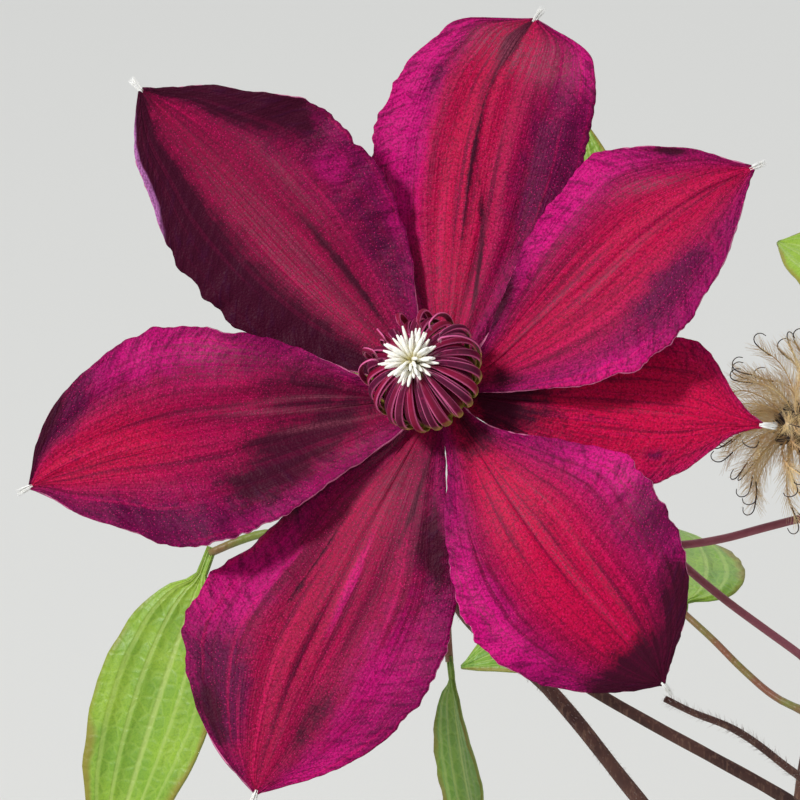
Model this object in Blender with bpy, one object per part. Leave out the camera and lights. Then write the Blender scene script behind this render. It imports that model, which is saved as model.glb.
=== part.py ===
# A potted clematis: a clay pot of compost, a tripod of three canes, three vines wound up the canes
# and tied to them, leaves, one large open bloom at the front, a second bloom at the back,
# a feathered seed head, a young shoot and two buds.
# Metres, +Z up, with the origin at the middle of the pot's flat base. The front is -Y.

from math import atan2, cos, pi, radians, sin, sqrt, tan

import bmesh
import bpy
from mathutils import Matrix, Vector

MM = 0.001
GAP = 0.3 * MM
MERGE_DISTANCE = 0.001 * MM

# The pot and what is in it
POT_HEIGHT = 0.185
POT_BASE_RADIUS = 0.066
POT_MOUTH_RADIUS = 0.096
POT_WALL = 0.008
POT_FLOOR = 0.011
RIM_BAND_HEIGHT = 0.034
RIM_BAND_PROUD = 0.005
EDGE_ROUND = 0.002
DRAIN_HOLE_RADIUS = 0.0065
DRAIN_HOLE_RING = 0.036
DRAIN_HOLES = 3
SOIL_TOP = 0.160
SOIL_MOUND = 0.004

# The canes, which lean in to meet under the top tie
CANE_RADIUS = 0.0036
CANE_FOOT_THICKENING = 1.04
CANE_HEAD_THINNING = 0.94
CANE_FOOT_RADIUS = 0.052
CANE_HEAD_RADIUS = 0.0085
CANE_HEAD_HEIGHT = 0.560
CANE_TOP = 0.590
CANE_BOTTOM = 0.075
CANE_TURNS = {"cane_front": 270, "cane_back_right": 30, "cane_back_left": 150}

# The vines, which wind round the canes, and the twine that ties them
VINE_FOOT_RADIUS = 0.0021
VINE_HEAD_RADIUS = 0.0014
VINE_BURIED = 0.030
VINE_JOINS_CANE = 0.235
VINE_CLEARANCE = 0.0009
TIE_RADIUS = 0.0011
TIE_CLEARANCE = 0.0006

# The front bloom is laid out on a face plane, which leans back from the vertical
FACE_LEAN = radians(28)
FACE_DISTANCE = 0.8
BLOOM_HEART = Vector((-0.116, -0.115, 0.500))
BLOOM_TILT = radians(28)
BLOOM_TILT_TOWARDS = radians(131)
HEART_RADIUS = 4.0
TEPAL_BASE_HALF_WIDTH = 1.6
TEPAL_TIP_HALF_WIDTH = 0.35
TEPAL_THICKNESS = 0.6 * MM
TEPAL_STATIONS = (0.15, 0.3, 0.45, 0.6, 0.7, 0.8, 0.9, 0.96)

# The seed head, the leaves and the buds
SEED_HEAD_RADIUS = 0.0155
STALK_RADIUS = 0.85 * MM
BLADE_THICKNESS = 0.8 * MM
BLADE_NECK = 0.9 * MM
BLADE_SHARES = (0.0, 0.1, 0.22, 0.42, 0.68, 0.95)
BUD_STALK_RADIUS = 1.0 * MM


# Objects and materials

def clear_scene():
    for old in list(bpy.data.objects):
        bpy.data.objects.remove(old)


def material(name, colour, roughness, metallic=0.0):
    made = bpy.data.materials.get(name)
    if made is None:
        made = bpy.data.materials.new(name)
        made.use_nodes = True
        shader = made.node_tree.nodes["Principled BSDF"]
        shader.inputs["Base Color"].default_value = (*colour, 1.0)
        shader.inputs["Roughness"].default_value = roughness
        shader.inputs["Metallic"].default_value = metallic
    return made


def terracotta():
    return material("terracotta", (0.52, 0.22, 0.11), 0.85)


def compost():
    return material("compost", (0.045, 0.028, 0.018), 0.95)


def bamboo():
    return material("bamboo", (0.56, 0.43, 0.22), 0.5)


def jute():
    return material("jute", (0.42, 0.32, 0.19), 0.9)


def vine_bark():
    return material("vine_bark", (0.13, 0.065, 0.055), 0.7)


def tepal_skin():
    return material("tepal_skin", (0.30, 0.006, 0.085), 0.45)


def filament_skin():
    return material("filament_skin", (0.20, 0.008, 0.07), 0.4)


def style_skin():
    return material("style_skin", (0.86, 0.82, 0.62), 0.55)


def leaf_skin():
    return material("leaf_skin", (0.17, 0.30, 0.04), 0.5)


def plume():
    return material("plume", (0.55, 0.43, 0.25), 0.8)


def add(name, mesh, finish):
    made = bpy.data.objects.new(name, mesh)
    made.data.materials.append(finish)
    bpy.context.scene.collection.objects.link(made)
    return made


def mesh_from(name, shape):
    """The mesh of a bmesh shape, which is then let go."""
    made = bpy.data.meshes.new(name)
    shape.to_mesh(made)
    shape.free()
    return made


def round_shaded(thing, sharp_degrees=40):
    thing.data.shade_smooth()
    thing.data.set_sharp_from_angle(angle=radians(sharp_degrees))
    return thing


def guide(thing):
    thing.hide_render = True
    thing.display_type = "WIRE"
    return thing


def boolean(thing, other, operation):
    cut = thing.modifiers.new(f"{operation.lower()}_{other.name}", "BOOLEAN")
    cut.operation = operation
    cut.object = other
    cut.solver = "EXACT"


# Curves through points, and solids swept along them

def smooth_route(points, per_span=4):
    """Points along a smooth curve through every given point, which a short span bends most."""
    spans = [(after - here).length for here, after in zip(points, points[1:])]
    ways = [(after - here).normalized() for here, after in zip(points, points[1:])]
    tangents = [ways[0]]
    for k in range(1, len(points) - 1):
        tangents.append((ways[k - 1] * spans[k] + ways[k] * spans[k - 1]) / (spans[k - 1] + spans[k]))
    tangents.append(ways[-1])
    route = []
    for k, span in enumerate(spans):
        for step in range(per_span):
            u = step / per_span
            swing = (u ** 3 - 2 * u ** 2 + u) * tangents[k] + (u ** 3 - u ** 2) * tangents[k + 1]
            route.append(points[k].lerp(points[k + 1], 3 * u ** 2 - 2 * u ** 3) + span * swing)
    return [*route, points[-1].copy()]


def tube(name, route, radius_start, radius_end, finish, sides=6, closed=False):
    """A round stem or cord along a route, thinning evenly, with filled ends unless it is a ring."""
    curve = bpy.data.curves.new(name, "CURVE")
    curve.dimensions = "3D"
    curve.bevel_depth = 1.0
    curve.bevel_resolution = (sides - 4) // 2
    curve.render_resolution_u = 0
    curve.use_fill_caps = not closed
    spline = curve.splines.new("POLY")
    spline.use_cyclic_u = closed
    spline.points.add(len(route) - 1)
    for k, place in enumerate(route):
        spline.points[k].co = (*place, 1.0)
        spline.points[k].radius = radius_start + (radius_end - radius_start) * k / (len(route) - 1)
    return add(name, curve, finish)


def mesh_tube(name, route, radius_start, radius_end, finish, sides=6):
    """The same stem as a mesh, for a Boolean to join it or to cut with it."""
    curve = tube(f"{name}_line", route, radius_start, radius_end, finish, sides)
    shape = bmesh.new()
    shape.from_mesh(bpy.data.meshes.new_from_object(curve))
    bpy.data.objects.remove(curve)
    bmesh.ops.remove_doubles(shape, verts=shape.verts, dist=MERGE_DISTANCE)
    return round_shaded(add(name, mesh_from(name, shape), finish), 50)


def turned(name, profile, finish, segments=24):
    """A solid turned round +Z from (radius, height) pairs that run from the bottom pole to the top pole."""
    shape = bmesh.new()
    corners = [shape.verts.new((radius, 0, height)) for radius, height in profile]
    outline = [shape.edges.new(pair) for pair in zip(corners, corners[1:])]
    bmesh.ops.spin(shape, geom=corners + outline, cent=(0, 0, 0), axis=(0, 0, 1), angle=2 * pi,
                   steps=segments, use_merge=True)
    bmesh.ops.remove_doubles(shape, verts=shape.verts, dist=MERGE_DISTANCE)
    bmesh.ops.recalc_face_normals(shape, faces=shape.faces)
    return round_shaded(add(name, mesh_from(name, shape), finish))


def sheet(name, rows, thickness, finish, offset=0.0):
    """A thin curved piece through rows of points, thickened by a Solidify."""
    shape = bmesh.new()
    grid = [[shape.verts.new(point) for point in row] for row in rows]
    for row, after in zip(grid, grid[1:]):
        for k in range(len(row) - 1):
            shape.faces.new((row[k], after[k], after[k + 1], row[k + 1]))
    made = add(name, mesh_from(name, shape), finish)
    made.data.shade_smooth()
    skin = made.modifiers.new("thickness", "SOLIDIFY")
    skin.thickness = thickness
    skin.offset = offset
    return made


def stand_along(thing, place, axis):
    """Puts the thing's own +Z along an axis, with its origin at a place."""
    thing.matrix_world = Matrix.Translation(place) @ axis.to_track_quat("Z", "Y").to_matrix().to_4x4()
    return thing


# The pot, the compost and the canes

def pot_outer_radius(height):
    return POT_BASE_RADIUS + (POT_MOUTH_RADIUS - POT_BASE_RADIUS) * height / POT_HEIGHT


def build_pot():
    band = POT_HEIGHT - RIM_BAND_HEIGHT
    outer, top, mouth = pot_outer_radius, POT_HEIGHT, pot_outer_radius(POT_HEIGHT)
    profile = [
        (0, 0),
        (POT_BASE_RADIUS - EDGE_ROUND, 0),
        (POT_BASE_RADIUS, EDGE_ROUND),
        (outer(band), band),
        (outer(band) + RIM_BAND_PROUD - EDGE_ROUND, band),
        (outer(band) + RIM_BAND_PROUD, band + EDGE_ROUND),
        (mouth + RIM_BAND_PROUD, top - EDGE_ROUND),
        (mouth + RIM_BAND_PROUD - EDGE_ROUND, top),
        (mouth - POT_WALL + EDGE_ROUND, top),
        (mouth - POT_WALL, top - EDGE_ROUND),
        (outer(POT_FLOOR) - POT_WALL, POT_FLOOR),
        (0, POT_FLOOR),
    ]
    pot = turned("pot", profile, terracotta(), segments=36)
    for k in range(DRAIN_HOLES):
        turn = 2 * pi * (k + 0.25) / DRAIN_HOLES
        hole = turned(f"drain_cutter_{k}", [
            (0, -POT_FLOOR), (DRAIN_HOLE_RADIUS, -POT_FLOOR),
            (DRAIN_HOLE_RADIUS, 2 * POT_FLOOR), (0, 2 * POT_FLOOR)], terracotta(), segments=12)
        hole.location = (DRAIN_HOLE_RING * cos(turn), DRAIN_HOLE_RING * sin(turn), 0)
        boolean(pot, guide(hole), "DIFFERENCE")


def cane_point(turn_degrees, height):
    """The middle of a cane at a height above the table."""
    share = (height - SOIL_TOP) / (CANE_HEAD_HEIGHT - SOIL_TOP)
    out = CANE_FOOT_RADIUS + (CANE_HEAD_RADIUS - CANE_FOOT_RADIUS) * share
    turn = radians(turn_degrees)
    return Vector((out * cos(turn), out * sin(turn), height))


def build_canes():
    for name, turn in CANE_TURNS.items():
        ends = [cane_point(turn, CANE_BOTTOM), cane_point(turn, CANE_TOP)]
        tube(name, ends, CANE_RADIUS * CANE_FOOT_THICKENING, CANE_RADIUS * CANE_HEAD_THINNING,
             bamboo(), sides=10)


# The vines. Each leaves the compost near the middle, reaches its cane and winds up it.

VINES = {
    # cane, turns round it, where it leaves the compost, top height
    "vine_front": ("cane_front", -1.4, (0.004, -0.014), 0.520),
    "vine_back_right": ("cane_back_right", -1.2, (0.014, 0.006), 0.530),
    "vine_back_left": ("cane_back_left", -1.3, (-0.013, 0.008), 0.540),
}


def vine_point(name, height):
    """The middle of a vine at a height."""
    cane, turns, foot, top = VINES[name]
    share = (height - VINE_JOINS_CANE) / (top - VINE_JOINS_CANE)
    turn = radians(CANE_TURNS[cane]) + pi + 2 * pi * turns * share
    reach = CANE_RADIUS + VINE_FOOT_RADIUS + VINE_CLEARANCE
    wound = cane_point(CANE_TURNS[cane], height) + reach * Vector((cos(turn), sin(turn), 0))
    rising = Vector((*foot, height))
    blend = min(1.0, max(0.0, (height - SOIL_TOP) / (VINE_JOINS_CANE - SOIL_TOP)))
    blend = blend * blend * (3 - 2 * blend)
    return rising.lerp(wound, blend)


def vine_radius(name, height):
    top = VINES[name][3]
    share = (height - SOIL_TOP + VINE_BURIED) / (top - SOIL_TOP + VINE_BURIED)
    return VINE_FOOT_RADIUS + (VINE_HEAD_RADIUS - VINE_FOOT_RADIUS) * share


def vine_side(name, height, turn):
    """A point beside a vine, where a stalk meets its skin, and the way out there."""
    along = (vine_point(name, height + MM) - vine_point(name, height - MM)).normalized()
    out = Vector((cos(turn), sin(turn), 0))
    out = (out - along * out.dot(along)).normalized()
    return vine_point(name, height) + out * (vine_radius(name, height) + GAP), out


def build_vines():
    for name, (_, _, _, top) in VINES.items():
        steps = 26
        low = SOIL_TOP - VINE_BURIED
        route = [vine_point(name, low + (top - low) * k / steps) for k in range(steps + 1)]
        tube(name, route, VINE_FOOT_RADIUS, VINE_HEAD_RADIUS, vine_bark())


def build_soil():
    lowest = POT_FLOOR + GAP
    inner = [(h, pot_outer_radius(h) - POT_WALL - GAP) for h in (lowest, SOIL_TOP)]
    profile = [
        (0, lowest),
        (inner[0][1] - EDGE_ROUND, lowest),
        (inner[1][1] - EDGE_ROUND, SOIL_TOP),
        (inner[1][1] * 0.8, SOIL_TOP + SOIL_MOUND * 0.3),
        (inner[1][1] * 0.4, SOIL_TOP + SOIL_MOUND),
        (0, SOIL_TOP + SOIL_MOUND * 1.2),
    ]
    soil = turned("compost", profile, compost(), segments=24)
    above = SOIL_TOP + 0.02
    for name, turn in CANE_TURNS.items():
        ends = [cane_point(turn, CANE_BOTTOM - GAP), cane_point(turn, above)]
        radius = CANE_RADIUS * CANE_FOOT_THICKENING + GAP
        hole = mesh_tube(f"{name}_hole", ends, radius, radius, compost(), 10)
        boolean(soil, guide(hole), "DIFFERENCE")
    for name in VINES:
        low = SOIL_TOP - VINE_BURIED - GAP
        route = [vine_point(name, low + (above - low) * k / 6) for k in range(7)]
        radius = VINE_FOOT_RADIUS + 3 * GAP
        hole = mesh_tube(f"{name}_hole", route, radius, radius, compost())
        boolean(soil, guide(hole), "DIFFERENCE")


# The ties: one band of twine round all three canes, and a loop that holds each vine to its cane

def hull_loop(centres, reach, steps=8):
    """The taut loop round discs of one reach: an arc round each centre, taken anticlockwise."""
    middle = sum((Vector(c) for c in centres), Vector((0, 0, 0))) / len(centres)
    ordered = sorted(centres, key=lambda c: atan2((c - middle).y, (c - middle).x))
    loop = []
    count = len(ordered)
    for k, centre in enumerate(ordered):
        before = centre - ordered[k - 1]
        after = ordered[(k + 1) % count] - centre
        start = atan2(before.y, before.x) - pi / 2
        sweep = (atan2(after.y, after.x) - atan2(before.y, before.x)) % (2 * pi)
        for step in range(steps + 1):
            turn = start + sweep * step / steps
            loop.append(centre + reach * Vector((cos(turn), sin(turn), 0)))
    return loop


def build_ties():
    height = CANE_HEAD_HEIGHT
    heads = [cane_point(turn, height) for turn in CANE_TURNS.values()]
    reach = CANE_RADIUS + TIE_RADIUS + GAP
    tube("top_tie", hull_loop(heads, reach, 4), TIE_RADIUS, TIE_RADIUS, jute(), closed=True)
    for vine, height in (("vine_front", 0.345), ("vine_back_right", 0.375), ("vine_back_left", 0.405)):
        cane = cane_point(CANE_TURNS[VINES[vine][0]], height)
        stem = vine_point(vine, height)
        loop = hull_loop([cane, stem], CANE_RADIUS + TIE_RADIUS + TIE_CLEARANCE, 6)
        tube(vine.replace("vine", "tie"), loop, TIE_RADIUS, TIE_RADIUS, jute(), closed=True)


# The blooms. A tepal's outline is given on the face plane in millimetres: its length, the way that
# it points, and how far its two margins and its midrib lie from the straight line of its length.

def side_profile(values, at_base, at_tip):
    stations = [0.0, *TEPAL_STATIONS, 1.0]
    heights = [at_base, *values, at_tip]

    def width(share):
        share = min(1.0, max(0.0, share))
        k = max(i for i in range(len(stations) - 1) if stations[i] <= share)
        span = stations[k + 1] - stations[k]

        def slope(i):
            if i in (0, len(stations) - 1):
                return 0.0 if i == 0 else (heights[i] - heights[i - 1]) / (stations[i] - stations[i - 1])
            return (heights[i + 1] - heights[i - 1]) / (stations[i + 1] - stations[i - 1])

        u = (share - stations[k]) / span
        return ((2 * u ** 3 - 3 * u ** 2 + 1) * heights[k] + (u ** 3 - 2 * u ** 2 + u) * span * slope(k)
                + (3 * u ** 2 - 2 * u ** 3) * heights[k + 1] + (u ** 3 - u ** 2) * span * slope(k + 1))

    return width


def rise(share, at_heart, middle, at_tip, bend_at=0.35):
    """How far a midrib has come forward, as a share of its length, from its slopes along the way."""
    if share < bend_at:
        return at_heart * share + (middle - at_heart) * share ** 2 / (2 * bend_at)
    rest = share - bend_at
    return ((at_heart + middle) * bend_at / 2 + middle * rest
            + (at_tip - middle) * rest ** 2 / (2 * (1 - bend_at)))


class Face:
    """Places on a bloom's face plane, in millimetres across, up and forward."""

    def __init__(self, heart, forward, tilt, tilt_towards, distance):
        self.heart = heart
        self.forward = forward.normalized()
        self.across = Vector((0, 0, 1)).cross(self.forward).normalized()
        self.up = self.forward.cross(self.across)
        self.tilt, self.towards, self.distance = tilt, tilt_towards, distance

    def place(self, across, up, forward):
        nearer = 1 - forward * MM / self.distance
        return self.heart + MM * ((self.across * across + self.up * up) * nearer + self.forward * forward)

    def axis(self):
        lean = self.across * cos(self.towards) + self.up * sin(self.towards)
        return (self.forward * cos(self.tilt) + lean * sin(self.tilt)).normalized()

    def disc_slope(self, turn):
        return -tan(self.tilt) * cos(turn - self.towards)


def tepal_point(face, tepal, share, side):
    """A point on a tepal's face: share runs from the heart to the tip, side from -1 to 1."""
    length, turn = tepal["length"], radians(tepal["turn"])
    middle = tepal["midrib_line"](share)
    margin = tepal["left_line"](share) if side > 0 else -tepal["right_line"](share)
    off = middle + abs(side) * (margin - middle)
    along = share * length
    across = along * cos(turn) - off * sin(turn)
    up = along * sin(turn) + off * cos(turn)
    slopes = (face.disc_slope(turn) + 0.04, *tepal["slopes"])
    lift = tepal["lifts"][0] if side > 0 else tepal["lifts"][1]
    belly = sin(pi * min(1.0, share)) ** 0.8
    sideways = face.disc_slope(turn + pi / 2) * off * (1 - 0.75 * share)
    forward = length * rise(share, *slopes) + tepal["layer"] + lift * abs(side) ** 1.6 * belly + sideways
    return face.place(across, up, forward)


def build_tepal(name, face, tepal, steps=10, halves=2):
    tepal = dict(tepal)
    tepal["left_line"] = side_profile(tepal["left"], TEPAL_BASE_HALF_WIDTH, TEPAL_TIP_HALF_WIDTH)
    tepal["right_line"] = side_profile(tepal["right"], TEPAL_BASE_HALF_WIDTH, TEPAL_TIP_HALF_WIDTH)
    tepal["midrib_line"] = side_profile(tepal["midrib"], 0.0, 0.0)
    first = HEART_RADIUS / sqrt(1 + face.disc_slope(radians(tepal["turn"])) ** 2) / tepal["length"]
    rows = [[tepal_point(face, tepal, first + (1 - first) * k / steps, c / halves)
             for c in range(-halves, halves + 1)] for k in range(steps + 1)]
    return sheet(name, rows, TEPAL_THICKNESS, tepal_skin())


FRONT_TEPALS = {
    # Clockwise from the top. Slopes are forward per length, at mid-length and at the tip.
    "tepal_top": dict(
        length=67.4, turn=75.7, slopes=(-0.06, -0.10), lifts=(-2.6, -2.4), layer=-0.9,
        left=(6.6, 14.0, 19.8, 22.2, 21.7, 20.1, 15.8, 11.9),
        right=(4.9, 8.8, 12.3, 14.0, 14.2, 14.0, 12.4, 9.6),
        midrib=(0.5, 1.4, 2.3, 3.5, 3.9, 3.9, 2.5, 1.2)),
    "tepal_upper_right": dict(
        length=67.3, turn=35.8, slopes=(0.24, 0.05), lifts=(1.8, 1.0), layer=0.9,
        left=(2.3, 8.2, 13.8, 17.2, 17.9, 14.4, 8.9, 3.9),
        right=(7.0, 13.1, 16.3, 16.1, 13.3, 10.3, 5.6, 2.3),
        midrib=(-1.2, -0.5, 0.2, 1.2, 1.6, 1.6, 1.2, 0.5)),
    "tepal_right": dict(
        length=56.6, turn=-5.7, slopes=(0.06, 0.10), lifts=(-2.0, -2.0), layer=-0.9,
        left=(4.4, 8.2, 11.5, 13.3, 13.8, 12.6, 5.2, 1.8),
        right=(4.4, 8.8, 11.5, 12.6, 11.7, 8.1, 2.8, 1.0),
        midrib=(0.0, 0.0, 0.2, 0.3, 0.3, 0.3, 0.1, 0.0)),
    "tepal_low_right": dict(
        length=64.1, turn=-52.6, slopes=(0.38, -0.42), lifts=(1.2, 1.6), layer=0.9,
        left=(3.3, 11.5, 19.2, 19.1, 18.0, 15.4, 9.5, 3.9),
        right=(6.0, 13.6, 19.2, 21.2, 20.1, 17.0, 10.9, 5.4),
        midrib=(-0.7, -1.4, -1.8, -1.8, -1.4, -0.8, -0.2, 0.0)),
    "tepal_low_left": dict(
        length=77.1, turn=-114.8, slopes=(0.15, 0.12), lifts=(-2.2, -2.2), layer=-0.9,
        left=(6.3, 12.6, 18.9, 19.8, 18.7, 15.2, 9.3, 3.9),
        right=(4.6, 12.6, 17.2, 22.8, 23.8, 20.5, 14.0, 7.7),
        midrib=(-0.5, -1.2, -1.7, -2.0, -2.1, -1.7, -1.0, -0.4)),
    "tepal_left": dict(
        length=73.6, turn=-167.1, slopes=(0.20, -0.14), lifts=(1.6, 2.4), layer=0.9,
        left=(6.5, 10.9, 15.2, 16.6, 15.6, 11.2, 6.7, 2.5),
        right=(4.9, 13.0, 18.6, 22.1, 21.2, 18.0, 13.1, 7.4),
        midrib=(-0.7, -1.6, -2.4, -3.3, -3.5, -3.0, -1.8, -0.9)),
    "tepal_upper_left": dict(
        length=74.5, turn=134.6, slopes=(0.02, 0.10), lifts=(-1.6, 1.6), layer=0.0,
        left=(6.8, 13.8, 17.2, 17.2, 15.8, 12.3, 8.8, 4.2),
        right=(6.3, 14.5, 19.4, 20.7, 19.8, 14.5, 8.8, 3.5),
        midrib=(1.0, 1.4, 1.4, 1.1, 0.9, 0.6, 0.2, 0.0)),
}

# The back bloom's tepals share one outline. Three lie in front and three behind.
BACK_BLOOM_TEPALS = 6
BACK_TEPAL = dict(
    left=(5.0, 10.5, 15.2, 17.0, 16.4, 13.6, 8.4, 4.0),
    right=(5.0, 10.5, 15.2, 17.0, 16.4, 13.6, 8.4, 4.0),
    midrib=(0.0, 0.3, 0.8, 1.0, 1.0, 0.8, 0.4, 0.1))


def front_face():
    forward = Vector((0, -cos(FACE_LEAN), sin(FACE_LEAN)))
    return Face(BLOOM_HEART, forward, BLOOM_TILT, BLOOM_TILT_TOWARDS, FACE_DISTANCE)


def back_face():
    forward = Vector((0.52, 0.66, 0.54))
    return Face(Vector((0.082, 0.104, 0.452)), forward, 0.0, 0.0, 10.0)


# The stamens stand in a domed ring with a well in the middle, where the styles spread

STAMEN_DOME = ((0, 0.6), (3.4, 0.6), (8.2, 3.4), (10.2, 6.6), (9.7, 10.2), (7.2, 13.2), (4.6, 14.2),
               (2.9, 13.2), (2.4, 8.0), (2.2, 2.2), (0, 2.2))
STYLE_TUFT = ((0, 2.6), (1.5, 2.6), (1.8, 8.0), (2.0, 13.0), (5.6, 17.0), (5.4, 17.8), (0, 17.4))


def build_heart(prefix, face):
    dome = turned(f"{prefix}_stamens", [(r * MM, h * MM) for r, h in STAMEN_DOME], filament_skin(), 20)
    tuft = turned(f"{prefix}_styles", [(r * MM, h * MM) for r, h in STYLE_TUFT], style_skin(), 12)
    for piece in (dome, tuft):
        stand_along(piece, face.heart + face.axis() * 1.2 * MM, face.axis())


def build_stalk(name, face, route, radius_end):
    """A bloom's stalk, which swells into the small boss that carries tepals, stamens and styles."""
    axis = face.axis()
    swell = [(0, -6.0), (1.3, -6.0), (2.6, -3.6), (3.6, -1.6), (3.6, 0.4), (2.4, 1.2), (0, 1.2)]
    boss = turned(f"{name}_boss", [(r * MM, h * MM) for r, h in swell], vine_bark(), 12)
    stand_along(boss, face.heart, axis)
    start = face.heart - axis * 4.0 * MM
    stem = mesh_tube(name, smooth_route([start, face.heart - axis * 14 * MM, *route], 4), 1.25 * MM,
                     radius_end, vine_bark())
    boolean(stem, guide(boss), "UNION")


def build_blooms():
    front = front_face()
    for name, tepal in FRONT_TEPALS.items():
        build_tepal(name, front, tepal)
    build_heart("front", front)
    back = back_face()
    for k in range(BACK_BLOOM_TEPALS):
        raised = k % 2
        tepal = dict(
            BACK_TEPAL, length=56.0 + 3.0 * sin(2.3 * k), turn=60.0 * k + 14.0 + 5.0 * sin(1.7 * k),
            slopes=(0.20 + 0.06 * sin(4.1 * k), -0.10 - 0.2 * sin(1.3 * k + 1)),
            lifts=(1.6, 1.6) if raised else (-1.8, -1.8), layer=0.9 if raised else -0.9)
        build_tepal(f"back_tepal_{k + 1}", back, tepal, steps=8)
    build_heart("back", back)


# Side shoots and stalks. Those near the front bloom are placed on its face plane.

def build_shoots():
    front, back = front_face(), back_face()
    joint, out = vine_side("vine_front", 0.312, radians(235))
    build_stalk("front_stalk", front, [
        front.place(3.4, -37, -24), front.place(19, -51.5, -24), front.place(35, -71, -29),
        joint + out * 14 * MM, joint + out * 4 * MM, joint], 1.5 * MM)
    joint, out = vine_side("vine_back_right", 0.425, radians(60))
    build_stalk("back_stalk", back, [joint + out * 12 * MM, joint + out * 4 * MM, joint], 1.2 * MM)

    joint, out = vine_side("vine_front", 0.335, radians(205))
    tube("leafy_shoot", smooth_route([
        joint, joint + out * 4 * MM, joint + out * 12 * MM, front.place(61, -71, -39),
        front.place(27, -52, -34), front.place(4, -37.5, -37), front.place(-19.5, -27.2, -42)], 4),
        1.6 * MM, 0.9 * MM, vine_bark())
    joint, out = vine_side("vine_front", 0.360, radians(195))
    tube("young_shoot", smooth_route([
        joint, joint + out * 4 * MM, joint + out * 12 * MM, front.place(63, -67, -22),
        front.place(51, -58.5, -16), front.place(43.5, -55.5, -13), front.place(39.5, -53.5, -12)], 4),
        1.25 * MM, 0.6 * MM, vine_bark())


# The seed head: a knob of seeds under a mop of feathered tails

def build_seed_head():
    front = front_face()
    heart = front.place(64.5, -8.5, -14)
    axis = (front.across * -0.35 + front.up * 0.5 + front.forward * 0.8).normalized()
    r = SEED_HEAD_RADIUS
    profile = [(0, -0.15 * r)] + [(r * sin(a), r * (0.35 - 0.82 * cos(a))) for a in
                                  (radians(d) for d in (45, 72, 100, 128, 156))] + [(0, 1.16 * r)]
    stand_along(turned("seed_head", profile, plume(), 16), heart, axis)
    joint, out = vine_side("vine_front", 0.445, radians(190))
    start = heart - axis * (0.18 * r + GAP)
    tube("seed_stalk", smooth_route([
        start, start - axis * 8 * MM, front.place(82, -16, -46), joint + out * 12 * MM,
        joint + out * 4 * MM, joint], 4),
        1.2 * MM, 1.2 * MM, vine_bark())


# Buds: a pointed egg on a short curved stalk

def build_bud(name, vine, height, turn, reach, length):
    joint, out = vine_side(vine, height, radians(turn))
    rise_up = Vector((0, 0, 1))
    neck = joint + out * reach * 0.75 + rise_up * reach * 0.6
    end = joint + out * reach + rise_up * reach * 0.95
    axis = (end - neck).normalized()
    fat = length * 0.25
    profile = [(0, -1.5 * MM), (1.2 * MM, -1.5 * MM), (0.75 * fat, 0.14 * length), (fat, 0.36 * length),
               (0.72 * fat, 0.66 * length), (0.25 * fat, 0.9 * length), (0, length)]
    head = turned(f"{name}_head", profile, leaf_skin(), 10)
    stand_along(head, end, axis)
    knee = joint + out * reach * 0.35 + rise_up * reach * 0.1
    route = smooth_route([joint, knee, neck, end + axis * MM], 3)
    stem = mesh_tube(name, route, BUD_STALK_RADIUS, BUD_STALK_RADIUS, leaf_skin())
    boolean(stem, guide(head), "UNION")


# Leaves: a long stalk with one blade, or with three, each folded a little along its midrib

def blade_half_width(share, widest):
    """Egg-shaped, broadest a third of the way along, with a narrow neck."""
    if share < 0.1:
        return BLADE_NECK
    u = (share - 0.1) / 0.9
    return BLADE_NECK * (1 - u) + widest * 1.9 * u ** 0.62 * (1 - u) ** 0.95


def build_blade(name, start, along, normal, length, widest, droop, fold):
    along = along.normalized()
    normal = (normal - along * normal.dot(along)).normalized()
    across = normal.cross(along)
    rows = []
    for share in BLADE_SHARES:
        half = max(blade_half_width(share, widest), 0.5 * MM)
        centre = start + along * length * share - normal * droop * length * share ** 2
        lift = normal * fold * max(0.0, half - BLADE_NECK)
        rows.append([centre - across * half + lift, centre, centre + across * half + lift])
    return sheet(name, rows, BLADE_THICKNESS, leaf_skin(), offset=-1.0)


def build_leaf(name, route, way, normal, blade, leaflets=3, droop=0.25, narrow=1.0):
    """A leaf stalk along a route, with an end blade that heads a way and, for three, a pair below it."""
    petiole = mesh_tube(name, route, STALK_RADIUS, STALK_RADIUS * 0.9, leaf_skin())
    way = way.normalized()
    across = normal.cross(way).normalized()
    inside = route[-1] - way * 1.2 * MM
    parts = [build_blade(f"{name}_end", inside, way, normal, blade, blade * 0.42 * narrow, droop, 0.22)]
    if leaflets == 3:
        fork = route[-1].lerp(route[-2], 0.8)
        for side in (-1, 1):
            spread = (way * 0.55 + across * side * 0.85).normalized()
            parts.append(build_blade(f"{name}_side_{side + 1}", fork, spread, normal, blade * 0.8,
                                     blade * 0.33 * narrow, droop * 1.2, 0.2))
    for part in parts:
        boolean(petiole, guide(part), "UNION")
    return petiole


def vine_leaf(name, vine, height, heading, stalk, rising, blade, leaflets, droop, roll):
    """A leaf on a vine. It heads off one way, its stalk rises and its blades level out and droop."""
    heading, rising = radians(heading), radians(rising)
    joint, out = vine_side(vine, height, heading)
    level = Vector((cos(heading), sin(heading), 0))
    way = level * cos(rising) + Vector((0, 0, 1)) * sin(rising)
    across = level.cross(Vector((0, 0, 1)))
    elbow = joint + out * stalk * 0.2
    route = smooth_route([joint, elbow, elbow + way * stalk * 0.5, elbow + way * stalk * 0.85], 2)
    normal = across.cross(way)
    normal = normal * cos(roll) + across * sin(roll)
    return build_leaf(name, route, way * 0.9 + level * 0.5, normal, blade, leaflets, droop)


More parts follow.
